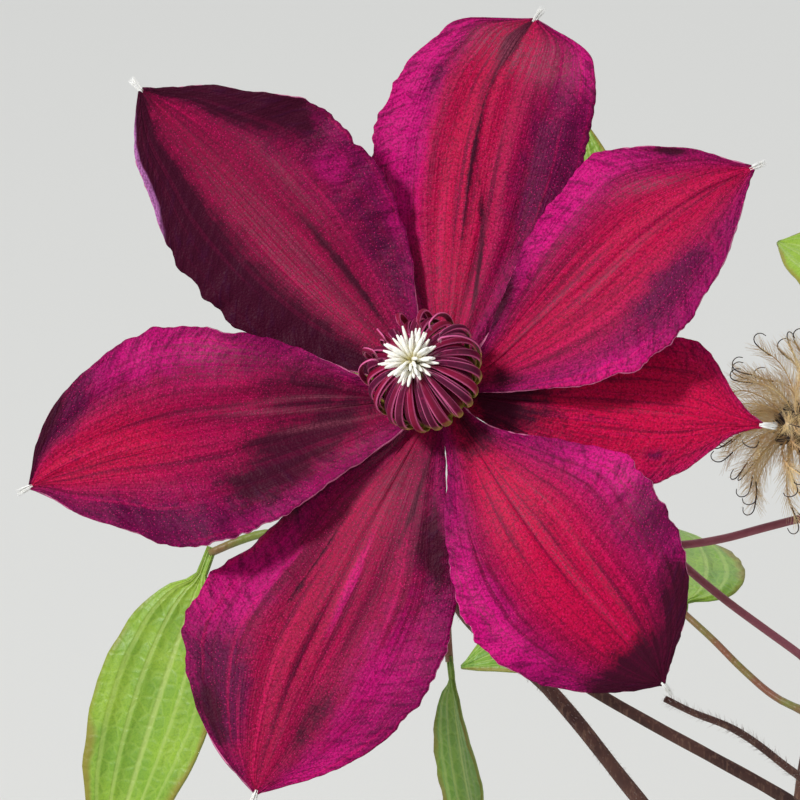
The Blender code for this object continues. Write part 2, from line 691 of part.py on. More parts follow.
LEAVES = [
    # vine, height, heading, stalk length, rise, blade length, leaflets, droop, roll
    ("vine_front", 0.214, 318, 0.044, 16, 0.062, 3, 0.34, 0.1),
    ("vine_front", 0.214, 222, 0.046, 18, 0.064, 3, 0.32, -0.1),
    ("vine_front", 0.300, 2, 0.040, 22, 0.058, 3, 0.28, 0.0),
    ("vine_front", 0.330, 285, 0.040, 26, 0.060, 3, 0.30, 0.1),
    ("vine_front", 0.458, 20, 0.036, 30, 0.052, 3, 0.25, 0.0),
    ("vine_front", 0.495, 350, 0.030, 40, 0.048, 1, 0.22, 0.0),
    ("vine_back_right", 0.218, 78, 0.046, 16, 0.064, 3, 0.34, 0.1),
    ("vine_back_right", 0.218, 345, 0.046, 18, 0.062, 3, 0.32, 0.0),
    ("vine_back_right", 0.312, 100, 0.042, 22, 0.062, 3, 0.28, -0.1),
    ("vine_back_right", 0.360, 12, 0.042, 26, 0.060, 3, 0.26, 0.0),
    ("vine_back_right", 0.405, 318, 0.036, 34, 0.050, 1, 0.22, 0.0),
    ("vine_back_left", 0.222, 198, 0.046, 16, 0.064, 3, 0.34, 0.0),
    ("vine_back_left", 0.222, 104, 0.044, 20, 0.060, 3, 0.32, 0.0),
    ("vine_back_left", 0.305, 215, 0.042, 20, 0.060, 3, 0.28, 0.0),
    ("vine_back_left", 0.350, 142, 0.040, 26, 0.060, 3, 0.26, 0.0),
    ("vine_back_left", 0.420, 80, 0.038, 32, 0.054, 3, 0.22, 0.0),
    ("vine_back_left", 0.515, 170, 0.030, 44, 0.046, 1, 0.20, 0.0),
]


def build_leaves():
    for k, leaf in enumerate(LEAVES):
        vine_leaf(f"leaf_{k + 1:02d}", *leaf)


def build_face_leaves():
    """The leaves that show round the front bloom: on the leafy shoot, and two on long stalks behind it."""
    front = front_face()
    place, across, up, forward = front.place, front.across, front.up, front.forward
    tip = place(-20, -27, -42)
    route = smooth_route([tip, place(-30, -24.5, -43), place(-40, -28, -44)], 2)
    build_leaf("shoot_leaf_left", route, across * -0.34 - up * 0.94, forward + up * 0.3 - across * 0.3,
               0.068, 1, 0.10, 0.6)
    route = smooth_route([place(1.5, -37.7, -38.4), place(1.6, -42, -39), place(2, -47, -39)], 2)
    build_leaf("shoot_leaf_down", route, across * 0.1 - up * 0.97 - forward * 0.2,
               forward * 0.5 - across, 0.058, 1, 0.10, 0.5)

    joint, out = vine_side("vine_front", 0.420, radians(190))
    route = smooth_route([joint, joint + out * 0.012, place(63, -22, -42), place(43, -26.5, -46),
                          place(22, -24, -48), place(4, -10, -47)], 3)
    build_leaf("long_leaf_upper", route, across * -0.6 + up * 0.75, forward + up * 0.2, 0.062, 1, 0.05)
    joint, out = vine_side("vine_front", 0.385, radians(185))
    route = smooth_route([joint, joint + out * 0.012, place(63, -45.5, -38), place(44, -31, -40),
                          place(32, -18, -50), place(23, -2, -55)], 3)
    build_leaf("long_leaf_right", route, across * 0.05 + up * 0.98, forward + across * 0.2,
               0.056, 1, 0.06, 0.8)


def main():
    clear_scene()
    build_pot()
    build_canes()
    build_vines()
    build_soil()
    build_ties()
    build_blooms()
    build_shoots()
    build_seed_head()
    build_bud("bud_right", "vine_back_right", 0.490, 62, 0.034, 0.026)
    build_bud("bud_left", "vine_back_left", 0.462, 20, 0.030, 0.022)
    build_leaves()
    build_face_leaves()


main()
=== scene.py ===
# The looks of a potted clematis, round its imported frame: a clay pot of compost, a tripod of bamboo
# canes, three vines tied to them with twine, leaves, two open blooms, a seed head, shoots and buds.
# Metres, +Z up. A piece that stands for a CAD node follows the same centre lines as that node.

from math import atan2, cos, exp, pi, radians, sin, sqrt, tan
from random import Random

import bmesh
import bpy
from mathutils import Matrix, Vector, noise


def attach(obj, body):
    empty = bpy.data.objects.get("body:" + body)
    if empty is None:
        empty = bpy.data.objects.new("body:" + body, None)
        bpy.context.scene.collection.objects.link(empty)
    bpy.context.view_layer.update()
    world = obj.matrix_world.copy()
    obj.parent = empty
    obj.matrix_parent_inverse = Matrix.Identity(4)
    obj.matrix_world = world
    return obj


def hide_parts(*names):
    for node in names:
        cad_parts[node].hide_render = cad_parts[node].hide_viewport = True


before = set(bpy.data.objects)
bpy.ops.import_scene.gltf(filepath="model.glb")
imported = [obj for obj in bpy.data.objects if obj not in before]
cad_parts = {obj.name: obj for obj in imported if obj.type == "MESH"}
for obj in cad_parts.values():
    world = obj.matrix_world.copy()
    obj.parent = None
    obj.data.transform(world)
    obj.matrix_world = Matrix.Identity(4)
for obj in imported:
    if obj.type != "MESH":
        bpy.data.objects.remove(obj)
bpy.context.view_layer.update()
BODY = "root"
MM = 0.001
GAP = 0.3 * MM


# Pot. A plain earthenware pot, turned on a wheel, with a thick band round the rim and three drain
# holes in its floor. It is unglazed: lime from the water blooms on it, and its foot is darker.

POT_HEIGHT = 0.185
POT_BASE_RADIUS = 0.066
POT_MOUTH_RADIUS = 0.096
POT_WALL = 0.008
POT_FLOOR = 0.011
RIM_BAND_HEIGHT = 0.034
RIM_BAND_PROUD = 0.005
POT_EDGE_ROUND = 0.002
POT_SIDES = 144
DRAIN_HOLE_RADIUS = 0.0065
DRAIN_HOLE_RING = 0.036
DRAIN_HOLE_TURNS = (30, 150, 270)


class Wire:
    """A shader socket. Arithmetic on it adds Math nodes, and make() adds a node of any other kind."""

    def __init__(self, socket):
        self.socket = socket

    def make(self, kind, settings=None, inputs=None, output=0):
        tree = self.socket.id_data
        node = tree.nodes.new(f"ShaderNode{kind}")
        for name, setting in (settings or {}).items():
            if name == "stops":
                for stop, (place, colour) in zip(node.color_ramp.elements, setting):
                    stop.position = place
                    stop.color = colour
            else:
                setattr(node, name, setting)
        for name, value in (inputs or {}).items():
            if isinstance(value, Wire):
                tree.links.new(value.socket, node.inputs[name])
            else:
                node.inputs[name].default_value = value
        return Wire(node.outputs[output])

    def maths(self, operation, first, second=0.0):
        return self.make("Math", {"operation": operation}, {0: first, 1: second})

    def __add__(self, other):
        return self.maths("ADD", self, other)

    __radd__ = __add__

    def __mul__(self, other):
        return self.maths("MULTIPLY", self, other)

    __rmul__ = __mul__

    def __sub__(self, other):
        return self.maths("SUBTRACT", self, other)

    def __rsub__(self, other):
        return self.maths("SUBTRACT", other, self)

    def __truediv__(self, other):
        return self.maths("DIVIDE", self, other)

    def __pow__(self, other):
        return self.maths("POWER", self, other)

    def ramp(self, low, high):
        """0 below low and 1 above high, with a smooth change between."""
        return self.make("MapRange", {"interpolation_type": "SMOOTHSTEP"},
                         {"Value": self, "From Min": low, "From Max": high})

    def mix(self, first, second):
        """A colour: the first where this is 0, the second where it is 1."""
        return self.make("Mix", {"data_type": "RGBA"}, {0: self, 6: first, 7: second}, output=2)

    def size(self):
        return self.maths("ABSOLUTE", self)

    def with_parts(self, second, third):
        """A vector of three values, of which this is the first."""
        return self.make("CombineXYZ", None, {0: self, 1: second, 2: third})

    def at_scale(self, across, up, along):
        """A vector stretched by a number along each of its axes."""
        return self.make("VectorMath", {"operation": "MULTIPLY"}, {0: self, 1: (across, up, along)})

    def cloud(self, scale, detail=2.0):
        """Noise from 0 to 1 over this vector."""
        return self.make("TexNoise", None, {"Vector": self, "Scale": scale, "Detail": detail})

    def cells(self, scale):
        """How far each place is from the middle of its cell."""
        return self.make("TexVoronoi", None, {"Vector": self, "Scale": scale})

    def part(self, axis):
        """The X, Y or Z part of this vector, by its number."""
        return self.make("SeparateXYZ", None, {0: self}, output=axis)

    def relief(self, depth, strength=1.0):
        """A normal from this height, which runs from 0 to 1 for a depth in metres."""
        return self.make("Bump", None, {"Height": self, "Distance": depth, "Strength": strength})


def paint(red, green, blue):
    """A colour as the eye reads it, from 0 to 255, in the shader's own linear values."""
    parts = [part / 255 for part in (red, green, blue)]
    linear = [part / 12.92 if part < 0.04 else ((part + 0.055) / 1.055) ** 2.4 for part in parts]
    return (*linear, 1.0)


class Finish:
    """A material: a Principled shader with its plain values, and the wires that feed it."""

    def __init__(self, name, **values):
        self.material = bpy.data.materials.new(name)
        self.material.use_nodes = True
        self.tree = self.material.node_tree
        self.shader = self.tree.nodes["Principled BSDF"]
        for socket, value in values.items():
            self.shader.inputs[socket.replace("_", " ")].default_value = value

    def place(self):
        """Object coordinates, in metres."""
        return Wire(self.tree.nodes.new("ShaderNodeTexCoord").outputs["Object"])

    def value(self, name):
        """A number that the mesh carries at each of its corners."""
        node = self.tree.nodes.new("ShaderNodeAttribute")
        node.attribute_name = name
        return Wire(node.outputs["Fac"])

    def feed(self, socket, wire):
        self.tree.links.new(wire.socket, self.shader.inputs[socket])

    def dress(self, *pieces):
        for piece in pieces:
            piece.data.materials.clear()
            piece.data.materials.append(self.material)


def settle(piece, slot, *nodes):
    """Attaches a finished piece to its body and hides the CAD nodes that it stands for. The slot, its finish, is not
    used.
    """
    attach(piece, BODY)
    if nodes:
        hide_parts(*nodes)
    return piece


def deselect():
    if bpy.context.object and bpy.context.object.mode == "EDIT":
        bpy.ops.object.mode_set(mode="OBJECT")
    bpy.ops.object.select_all(action="DESELECT")


def raised(name, profile, sides):
    """A round solid drawn up from a disc: (radius, height) pairs from its bottom edge to its last one."""
    deselect()
    radius, height = profile[0]
    bpy.ops.mesh.primitive_circle_add(vertices=sides, radius=radius, fill_type="NGON")
    piece = bpy.context.object
    piece.name = name
    bpy.ops.object.mode_set(mode="EDIT")
    bpy.ops.mesh.select_all(action="SELECT")
    bpy.ops.transform.translate(value=(0, 0, height))
    for next_radius, next_height in profile[1:]:
        bpy.ops.mesh.extrude_region_move(
            TRANSFORM_OT_translate={"value": (0, 0, next_height - height)})
        scale = next_radius / radius
        bpy.ops.transform.resize(value=(scale, scale, 1), center_override=(0, 0, 0))
        radius, height = next_radius, next_height
    bpy.ops.mesh.select_all(action="SELECT")
    bpy.ops.mesh.normals_make_consistent(inside=False)
    bpy.ops.object.mode_set(mode="OBJECT")
    return piece


def pot_outer_radius(height):
    return POT_BASE_RADIUS + (POT_MOUTH_RADIUS - POT_BASE_RADIUS) * height / POT_HEIGHT


def rounded(corner_radius, corner_height, bend, start, end, steps=5):
    """The points of a rounded corner: its middle, its radius, and the turns that it starts and ends at."""
    turns = [radians(start + (end - start) * k / steps) for k in range(steps + 1)]
    return [(corner_radius + bend * cos(turn), corner_height + bend * sin(turn)) for turn in turns]


band_bottom = POT_HEIGHT - RIM_BAND_HEIGHT
band_foot = pot_outer_radius(band_bottom)
mouth = pot_outer_radius(POT_HEIGHT)
bend = POT_EDGE_ROUND
wall_rows = [pot_outer_radius(band_bottom * k / 12) for k in range(1, 12)]
inside_rows = [(mouth - POT_WALL) + (pot_outer_radius(POT_FLOOR) - mouth) * k / 12 for k in range(1, 12)]
inside_drop = POT_HEIGHT - bend - POT_FLOOR
pot_profile = [
    *rounded(POT_BASE_RADIUS - bend, bend, bend, -90, 0),
    *[(radius, band_bottom * (k + 1) / 12) for k, radius in enumerate(wall_rows)],
    (band_foot, band_bottom - bend / 2), (band_foot + bend / 2, band_bottom),
    *rounded(band_foot + RIM_BAND_PROUD - bend, band_bottom + bend, bend, -90, 0),
    *rounded(mouth + RIM_BAND_PROUD - bend, POT_HEIGHT - bend, bend, 0, 90),
    *rounded(mouth - POT_WALL + bend, POT_HEIGHT - bend, bend, 90, 180),
    *[(radius, POT_HEIGHT - bend - inside_drop * (k + 1) / 12) for k, radius in enumerate(inside_rows)],
    *rounded(pot_outer_radius(POT_FLOOR) - POT_WALL - bend, POT_FLOOR + bend, bend, 0, -90),
]
pot = raised("clay_pot", pot_profile, POT_SIDES)

for turn in DRAIN_HOLE_TURNS:
    deselect()
    bpy.ops.mesh.primitive_cylinder_add(
        vertices=28, radius=DRAIN_HOLE_RADIUS, depth=4 * POT_FLOOR,
        location=(DRAIN_HOLE_RING * cos(radians(turn)), DRAIN_HOLE_RING * sin(radians(turn)), 0))
    drill = bpy.context.object
    cut = pot.modifiers.new("drain", "BOOLEAN")
    cut.operation = "DIFFERENCE"
    cut.object = drill
    bpy.context.view_layer.objects.active = pot
    bpy.ops.object.modifier_apply(modifier=cut.name)
    bpy.data.objects.remove(drill)

deselect()
pot.select_set(True)
bpy.context.view_layer.objects.active = pot
bpy.ops.object.shade_smooth_by_angle(angle=radians(35))

clay = Finish("terracotta_clay", Roughness=0.86)
spot = clay.place()
height = spot.part(2)
throwing = spot.at_scale(1, 1, 14).cloud(55, 4)
blotches = spot.cloud(22, 6)
grit = spot.cloud(900, 3)
lime = (spot.cloud(38, 8) + spot.at_scale(3, 3, 0.6).cloud(16, 5) * 0.8).ramp(0.98, 1.18)
lime_bands = height.ramp(0.02, 0.09) * (1 - height.ramp(0.135, 0.152)) * 0.75
damp = (1 - (height + blotches * 0.05).ramp(0.028, 0.075)) * 0.55
bare = blotches.ramp(0.3, 0.7).mix(paint(186, 104, 66), paint(208, 130, 88))
bare = (grit.ramp(0.55, 0.75) * 0.35).mix(bare, paint(226, 160, 120))
bare = damp.mix(bare, paint(122, 66, 44))
bare = (lime * lime_bands).mix(bare, paint(218, 196, 172))
moss = (spot.cloud(60, 5).ramp(0.56, 0.7)) * (1 - height.ramp(0.004, 0.03)) * 0.6
clay.feed("Base Color", moss.mix(bare, paint(88, 92, 48)))
clay.feed("Roughness", 0.9 - damp * 0.25)
clay.feed("Normal", (grit * 0.35 + throwing * 0.65).relief(0.5 * MM))
clay.dress(pot)
settle(pot, "terracotta", "pot")


# Compost. A dark crumbly mix of peat, bark chips and a few white grains of perlite, which fills the
# pot to a finger's width under its rim and is heaped a little round the stems.

SOIL_TOP = 0.160
SOIL_MOUND = 0.004
SOIL_RINGS = 56
SOIL_SIDES = 150
CRUMBS = 620


def mound(radius, edge):
    """How high the compost stands at a distance from the middle."""
    share = min(1.0, radius / edge)
    return SOIL_TOP + SOIL_MOUND * 1.2 * (1 - share ** 2.2)


def lumps(x, y):
    here = Vector((x, y, 0.4))
    return 1.1 * MM * noise.noise(here * 120) + 0.7 * MM * noise.noise(here * 330) + \
        0.35 * MM * noise.noise(here * 800)


soil_foot = pot_outer_radius(POT_FLOOR) - POT_WALL - GAP
soil_edge = pot_outer_radius(SOIL_TOP) - POT_WALL - GAP
soil_profile = [(soil_foot - POT_EDGE_ROUND, POT_FLOOR + GAP), (soil_edge - 1.2 * MM, SOIL_TOP - 1.5 * MM)]
soil_profile += [((soil_edge - 1.2 * MM) * (1 - k / SOIL_RINGS), mound(soil_edge * (1 - k / SOIL_RINGS), soil_edge))
                 for k in range(SOIL_RINGS)]
soil = raised("compost_bed", soil_profile, SOIL_SIDES)
for corner in soil.data.vertices:
    x, y, z = corner.co
    out = sqrt(x * x + y * y)
    if z > SOIL_TOP - 1 * MM and out < soil_edge - 2 * MM:
        corner.co.z += lumps(x, y) * 1.3
soil.data.shade_smooth()


def copies(name, blank, count, place, **numbers):
    """One mesh of many copies of a blank mesh: place(k, corner) says where a copy's corner goes."""
    corners = [corner.co.copy() for corner in blank.vertices]
    faces = [tuple(face.vertices) for face in blank.polygons]
    every = [(k, corner) for k in range(count) for corner in corners]
    mesh = bpy.data.meshes.new(name)
    mesh.from_pydata([place(k, corner) for k, corner in every], [],
                     [[at + k * len(corners) for at in face] for k in range(count) for face in faces])
    for attribute, number in numbers.items():
        layer = mesh.attributes.new(attribute, "FLOAT", "POINT")
        layer.data.foreach_set("value", [number(k, corner) for k, corner in every])
    mesh.shade_smooth()
    piece = bpy.data.objects.new(name, mesh)
    bpy.context.scene.collection.objects.link(piece)
    return piece


deselect()
bpy.ops.mesh.primitive_ico_sphere_add(subdivisions=1, radius=1)
crumb_object = bpy.context.object
crumb_blank = crumb_object.data
bpy.data.objects.remove(crumb_object)

draw = Random(11)
crumbs = []
for k in range(CRUMBS):
    out = (soil_edge - 4 * MM) * sqrt(draw.random())
    turn = draw.uniform(0, 2 * pi)
    x, y = out * cos(turn), out * sin(turn)
    size = draw.choice((0.6, 0.8, 1.0, 1.3, 1.9)) * MM
    squash = Vector((draw.uniform(0.7, 1.5), draw.uniform(0.6, 1.2), draw.uniform(0.35, 0.8)))
    tilt = Matrix.Rotation(draw.uniform(-0.5, 0.5), 3, "X") @ Matrix.Rotation(draw.uniform(0, pi), 3, "Z")
    place = Vector((x, y, mound(out, soil_edge) + lumps(x, y) * 1.3 + size * 0.25))
    crumbs.append((place, size, squash, tilt, draw.random()))


def crumb_corner(k, corner):
    place, size, squash, tilt, _ = crumbs[k]
    rough = 1 + 0.45 * noise.noise(corner * 1.7 + Vector((k, 0, 0)))
    return place + size * rough * (tilt @ (corner * squash))


crumb_heap = copies("compost_crumbs", crumb_blank, CRUMBS, crumb_corner,
                    tone=lambda k, corner: crumbs[k][4])

peat = Finish("peat_and_bark", Roughness=0.95)
spot = peat.place()
tone = peat.value("tone")
coarse = spot.cloud(160, 6)
brown = coarse.ramp(0.35, 0.68).mix(paint(38, 27, 21), paint(84, 62, 46))
brown = (tone.ramp(0.35, 0.9) * 0.75).mix(brown, paint(112, 80, 54))
peat.feed("Base Color", tone.ramp(0.93, 0.94).mix(brown, paint(214, 208, 196)))
peat.feed("Normal", (coarse * 0.6 + spot.cloud(1500, 3) * 0.4).relief(0.9 * MM))
peat.dress(soil, crumb_heap)
settle(soil, "compost", "compost")
settle(crumb_heap, "compost")


# Canes. Three bamboo canes pushed into the compost and leant together, a tripod for the vines to
# climb. Each has ringed joints with a shallow groove above them, and a hollow cut end.

CANE_RADIUS = 0.0036
CANE_FOOT_THICKENING = 1.04
CANE_HEAD_THINNING = 0.94
CANE_FOOT_RADIUS = 0.052
CANE_HEAD_RADIUS = 0.0085
CANE_HEAD_HEIGHT = 0.560
CANE_TOP = 0.590
CANE_BOTTOM = 0.075
CANE_TURNS = {"cane_front": 270, "cane_back_right": 30, "cane_back_left": 150}
CANE_JOINTS = {"cane_front": (0.118, 0.196, 0.278, 0.362, 0.444, 0.529),
               "cane_back_right": (0.102, 0.182, 0.262, 0.349, 0.431, 0.512, 0.572),
               "cane_back_left": (0.131, 0.215, 0.300, 0.383, 0.468, 0.549)}
CANE_HOLLOW_WALL = 0.0012
CANE_HOLLOW_DEPTH = 0.009

rods = {}


def rod_blank(sides, rows):
    """A closed rod of radius 1 from z 0 to 1, rolled from a grid. Each kind is modelled once."""
    if (sides, rows) not in rods:
        deselect()
        bpy.ops.mesh.primitive_grid_add(x_subdivisions=sides, y_subdivisions=rows, size=2)
        rod = bpy.context.object
        for corner in rod.data.vertices:
            turn = pi * corner.co.x
            corner.co = (cos(turn), sin(turn), (corner.co.y + 1) / 2)
        bpy.ops.object.mode_set(mode="EDIT")
        bpy.ops.mesh.select_all(action="SELECT")
        bpy.ops.mesh.remove_doubles(threshold=1e-5)
        bpy.ops.mesh.fill_holes(sides=0)
        bpy.ops.mesh.normals_make_consistent(inside=False)
        bpy.ops.object.mode_set(mode="OBJECT")
        rods[sides, rows] = rod.data
        bpy.data.objects.remove(rod)
    return rods[sides, rows]


def carried_frames(route, first=Vector((0.13, 0.31, 0.94))):
    """Two directions across a route at each of its points, carried along it without a twist."""
    ways = [(after - before).normalized() for before, after in zip(route, route[1:])]
    ways = [ways[0]] + [(a + b).normalized() for a, b in zip(ways, ways[1:])] + [ways[-1]]
    side = first
    frames = []
    for way in ways:
        side = (side - way * side.dot(way)).normalized()
        frames.append((side, way.cross(side)))
    return frames


def rod_along(name, sides, route, reach, first=Vector((0.13, 0.31, 0.94))):
    """A rod along a route. reach(share, turn) is its radius at a share of its rows and a turn round it."""
    rows = len(route) - 1
    mesh = rod_blank(sides, rows).copy()
    frames = carried_frames(route, first)
    shares = []
    for corner in mesh.vertices:
        row = round(corner.co.z * rows)
        turn = atan2(corner.co.y, corner.co.x)
        across, up = frames[row]
        shares.append(row / rows)
        corner.co = route[row] + (across * cos(turn) + up * sin(turn)) * reach(row / rows, turn)
    mesh.attributes.new("share", "FLOAT", "POINT").data.foreach_set("value", shares)
    mesh.shade_smooth()
    mesh.name = name
    piece = bpy.data.objects.new(name, mesh)
    bpy.context.scene.collection.objects.link(piece)
    return piece


def joined(name, parts):
    """The parts as one object."""
    deselect()
    for part in parts:
        part.select_set(True)
    bpy.context.view_layer.objects.active = parts[0]
    bpy.ops.object.join()
    parts[0].name = name
    parts[0].data.name = name
    return parts[0]


def bump_at(distance, width):
    """A hump that is 1 high and about twice its width across."""
    return exp(-(distance / width) ** 2)


def cane_point(turn_degrees, height):
    """The middle of a cane at a height above the table."""
    share = (height - SOIL_TOP) / (CANE_HEAD_HEIGHT - SOIL_TOP)
    out = CANE_FOOT_RADIUS + (CANE_HEAD_RADIUS - CANE_FOOT_RADIUS) * share
    turn = radians(turn_degrees)
    return Vector((out * cos(turn), out * sin(turn), height))


def build_cane(name, turn_degrees, joints):
    steps = [CANE_BOTTOM + (CANE_TOP - CANE_BOTTOM) * k / 24 for k in range(25)]
    near = [joint + offset * MM for joint in joints for offset in (-4, -2.2, -1.4, -0.8, -0.3, 0.2, 0.8, 1.6, 3, 6)]
    clear = [step for step in steps if min(abs(step - joint) for joint in joints) > 7 * MM]
    heights = sorted({round(h, 5) for h in clear + near + [CANE_BOTTOM, CANE_TOP] if h <= CANE_TOP})
    route = [cane_point(turn_degrees, h) for h in heights]

    def reach(share, turn):
        h = heights[round(share * (len(heights) - 1))]
        along = (h - CANE_BOTTOM) / (CANE_TOP - CANE_BOTTOM)
        radius = CANE_RADIUS * (CANE_FOOT_THICKENING + (CANE_HEAD_THINNING - CANE_FOOT_THICKENING) * along)
        for k, joint in enumerate(joints):
            gap = h - joint
            radius += 0.42 * MM * bump_at(gap, 1.1 * MM) + 0.2 * MM * bump_at(gap - 2.2 * MM, 1.2 * MM)
            radius -= 0.22 * MM * bump_at(gap + 1.5 * MM, 0.6 * MM)
            if 0 < gap < 0.06:
                away = (turn - 2.4 * k + pi) % (2 * pi) - pi
                radius -= 0.5 * MM * (1 - gap / 0.06) * bump_at(away, 0.55)
        return radius

    cane = rod_along(f"bamboo_{name}", 24, route, reach)
    cut_end = max(cane.data.polygons, key=lambda face: face.center.z).index
    deselect()
    cane.select_set(True)
    bpy.context.view_layer.objects.active = cane
    bpy.ops.object.mode_set(mode="EDIT")
    bpy.ops.mesh.select_mode(type="FACE")
    bpy.ops.mesh.select_all(action="DESELECT")
    bpy.ops.object.mode_set(mode="OBJECT")
    cane.data.polygons[cut_end].select = True
    down = (cane_point(turn_degrees, CANE_TOP - CANE_HOLLOW_DEPTH) - cane_point(turn_degrees, CANE_TOP))
    bpy.ops.object.mode_set(mode="EDIT")
    bpy.ops.mesh.inset(thickness=CANE_HOLLOW_WALL)
    bpy.ops.mesh.extrude_region_move(TRANSFORM_OT_translate={"value": down})
    bpy.ops.object.mode_set(mode="OBJECT")
    cane.data.attributes["share"].data.foreach_set("value", [0.0] * len(cane.data.vertices))
    joint_values = []
    for corner in cane.data.vertices:
        gap = min((corner.co.z - joint for joint in joints), key=abs)
        joint_values.append(bump_at(gap + 0.6 * MM, 1.6 * MM) + 0.45 * bump_at(gap - 3 * MM, 4 * MM))
    cane.data.attributes.new("joint", "FLOAT", "POINT").data.foreach_set("value", joint_values)
    bpy.ops.object.shade_smooth_by_angle(angle=radians(50))
    return cane


canes = [build_cane(name, turn, CANE_JOINTS[name]) for name, turn in CANE_TURNS.items()]

bamboo = Finish("bamboo_skin", Roughness=0.42, Coat_Weight=0.12, Coat_Roughness=0.3)
spot = bamboo.place()
fibres = spot.at_scale(1, 1, 0.03).cloud(2600, 3)
patches = spot.at_scale(1, 1, 0.25).cloud(70, 5)
freckles = spot.at_scale(1, 1, 0.5).cells(520)
joint = bamboo.value("joint")
straw = patches.ramp(0.32, 0.7).mix(paint(206, 174, 112), paint(176, 142, 82))
straw = (fibres.ramp(0.45, 0.7) * 0.5).mix(straw, paint(150, 116, 66))
straw = ((1 - freckles.ramp(0.04, 0.16)) * 0.55).mix(straw, paint(104, 72, 40))
soil_stain = 1 - (spot.part(2) + patches * 0.012).ramp(SOIL_TOP + 0.006, SOIL_TOP + 0.026)
straw = (soil_stain * 0.7).mix(straw, paint(74, 54, 38))
bamboo.feed("Base Color", (joint * 0.75).mix(straw, paint(112, 80, 46)))
bamboo.feed("Roughness", 0.36 + patches * 0.2 + joint * 0.2)
bamboo.feed("Normal", fibres.relief(0.12 * MM))
bamboo.dress(*canes)
for cane, name in zip(canes, CANE_TURNS):
    settle(cane, "bamboo", name)


# Vines. Three wiry brown stems that leave the compost side by side, cross to their canes and wind
# up them. The bark is ribbed, peels in fine strips, and swells at each joint that carries leaves.

VINE_FOOT_RADIUS = 0.0021
VINE_HEAD_RADIUS = 0.0014
VINE_BURIED = 0.030
VINE_JOINS_CANE = 0.235
VINE_CLEARANCE = 0.0009
VINE_ROWS = 150
VINES = {
    # cane, turns round it, where it leaves the compost, top height
    "vine_front": ("cane_front", -1.4, (0.004, -0.014), 0.520),
    "vine_back_right": ("cane_back_right", -1.2, (0.014, 0.006), 0.530),
    "vine_back_left": ("cane_back_left", -1.3, (-0.013, 0.008), 0.540),
}
VINE_JOINTS = {"vine_front": (0.214, 0.300, 0.330, 0.385, 0.420, 0.458, 0.495),
               "vine_back_right": (0.218, 0.312, 0.360, 0.405, 0.425, 0.490),
               "vine_back_left": (0.222, 0.305, 0.350, 0.420, 0.462, 0.515)}


def vine_point(name, height):
    """The middle of a vine at a height."""
    cane, turns, foot, top = VINES[name]
    share = (height - VINE_JOINS_CANE) / (top - VINE_JOINS_CANE)
    turn = radians(CANE_TURNS[cane]) + pi + 2 * pi * turns * share
    reach = CANE_RADIUS + VINE_FOOT_RADIUS + VINE_CLEARANCE
    wound = cane_point(CANE_TURNS[cane], height) + reach * Vector((cos(turn), sin(turn), 0))
    rising = Vector((*foot, height))
    blend = min(1.0, max(0.0, (height - SOIL_TOP) / (VINE_JOINS_CANE - SOIL_TOP)))
    blend = blend * blend * (3 - 2 * blend)
    return rising.lerp(wound, blend)


def vine_radius(name, height):
    top = VINES[name][3]
    share = (height - SOIL_TOP + VINE_BURIED) / (top - SOIL_TOP + VINE_BURIED)
    return VINE_FOOT_RADIUS + (VINE_HEAD_RADIUS - VINE_FOOT_RADIUS) * share


def vine_side(name, height, turn):
    """A point beside a vine, where a stalk meets its skin, and the way out there."""
    along = (vine_point(name, height + MM) - vine_point(name, height - MM)).normalized()
    out = Vector((cos(turn), sin(turn), 0))
    out = (out - along * out.dot(along)).normalized()
    return vine_point(name, height) + out * (vine_radius(name, height) + GAP), out


def ribs(turn, count, depth):
    """The ribbed section of a stem."""
    return depth * (abs(cos(count * turn / 2)) - 0.64)


def build_vine(name):
    low, top = SOIL_TOP - VINE_BURIED, VINES[name][3]
    route = [vine_point(name, low + (top - low) * k / VINE_ROWS) for k in range(VINE_ROWS + 1)]

    def reach(share, turn):
        height = low + (top - low) * share
        swell = sum(0.6 * MM * bump_at(height - joint, 2.2 * MM) for joint in VINE_JOINTS[name])
        knots = 0.12 * MM * noise.noise(Vector((height * 260, turn, VINE_FOOT_RADIUS)))
        tip = min(1.0, (1 - share) * 30 + 0.25)
        return (vine_radius(name, height) + ribs(turn + 2 * share, 6, 0.22 * MM) + swell + knots) * tip

    return rod_along(f"stem_of_{name}", 18, route, reach)


vines = {name: build_vine(name) for name in VINES}

bark = Finish("vine_bark_skin", Roughness=0.62, Specular_IOR_Level=0.35)
spot = bark.place()
strips = spot.at_scale(1, 1, 0.06).cloud(1700, 4)
mottle = spot.cloud(150, 4)
brown = mottle.ramp(0.35, 0.7).mix(paint(66, 42, 38), paint(98, 66, 56))
brown = (strips.ramp(0.5, 0.72) * 0.6).mix(brown, paint(150, 118, 98))
young_wood = (spot.part(2) + mottle * 0.05).ramp(0.40, 0.56) * 0.8
bark.feed("Base Color", young_wood.mix(brown, paint(112, 70, 62)))
bark.feed("Roughness", 0.5 + strips * 0.35)
bark.feed("Normal", (strips * 0.7 + spot.cloud(2600, 2) * 0.3).relief(0.28 * MM))
bark.dress(*vines.values())
for name, vine in vines.items():
    settle(vine, "vine_bark", name)


# Ties. Brown jute twine of three strands. One length binds the canes' heads, and a shorter one
# holds each vine to its cane, with two turns, a crossing turn over them and two frayed ends.

TIE_RADIUS = 0.0011
TIE_CLEARANCE = 0.0006
TIES = {"tie_front": ("vine_front", 0.345, 235), "tie_back_right": ("vine_back_right", 0.375, 15),
        "tie_back_left": ("vine_back_left", 0.405, 165)}
TOP_TIE_TURNED = 262
STRAND_RADIUS = 0.00058
STRAND_REACH = 0.00052
TWIST_LENGTH = 0.0062
TWINE_STEP = 0.0008


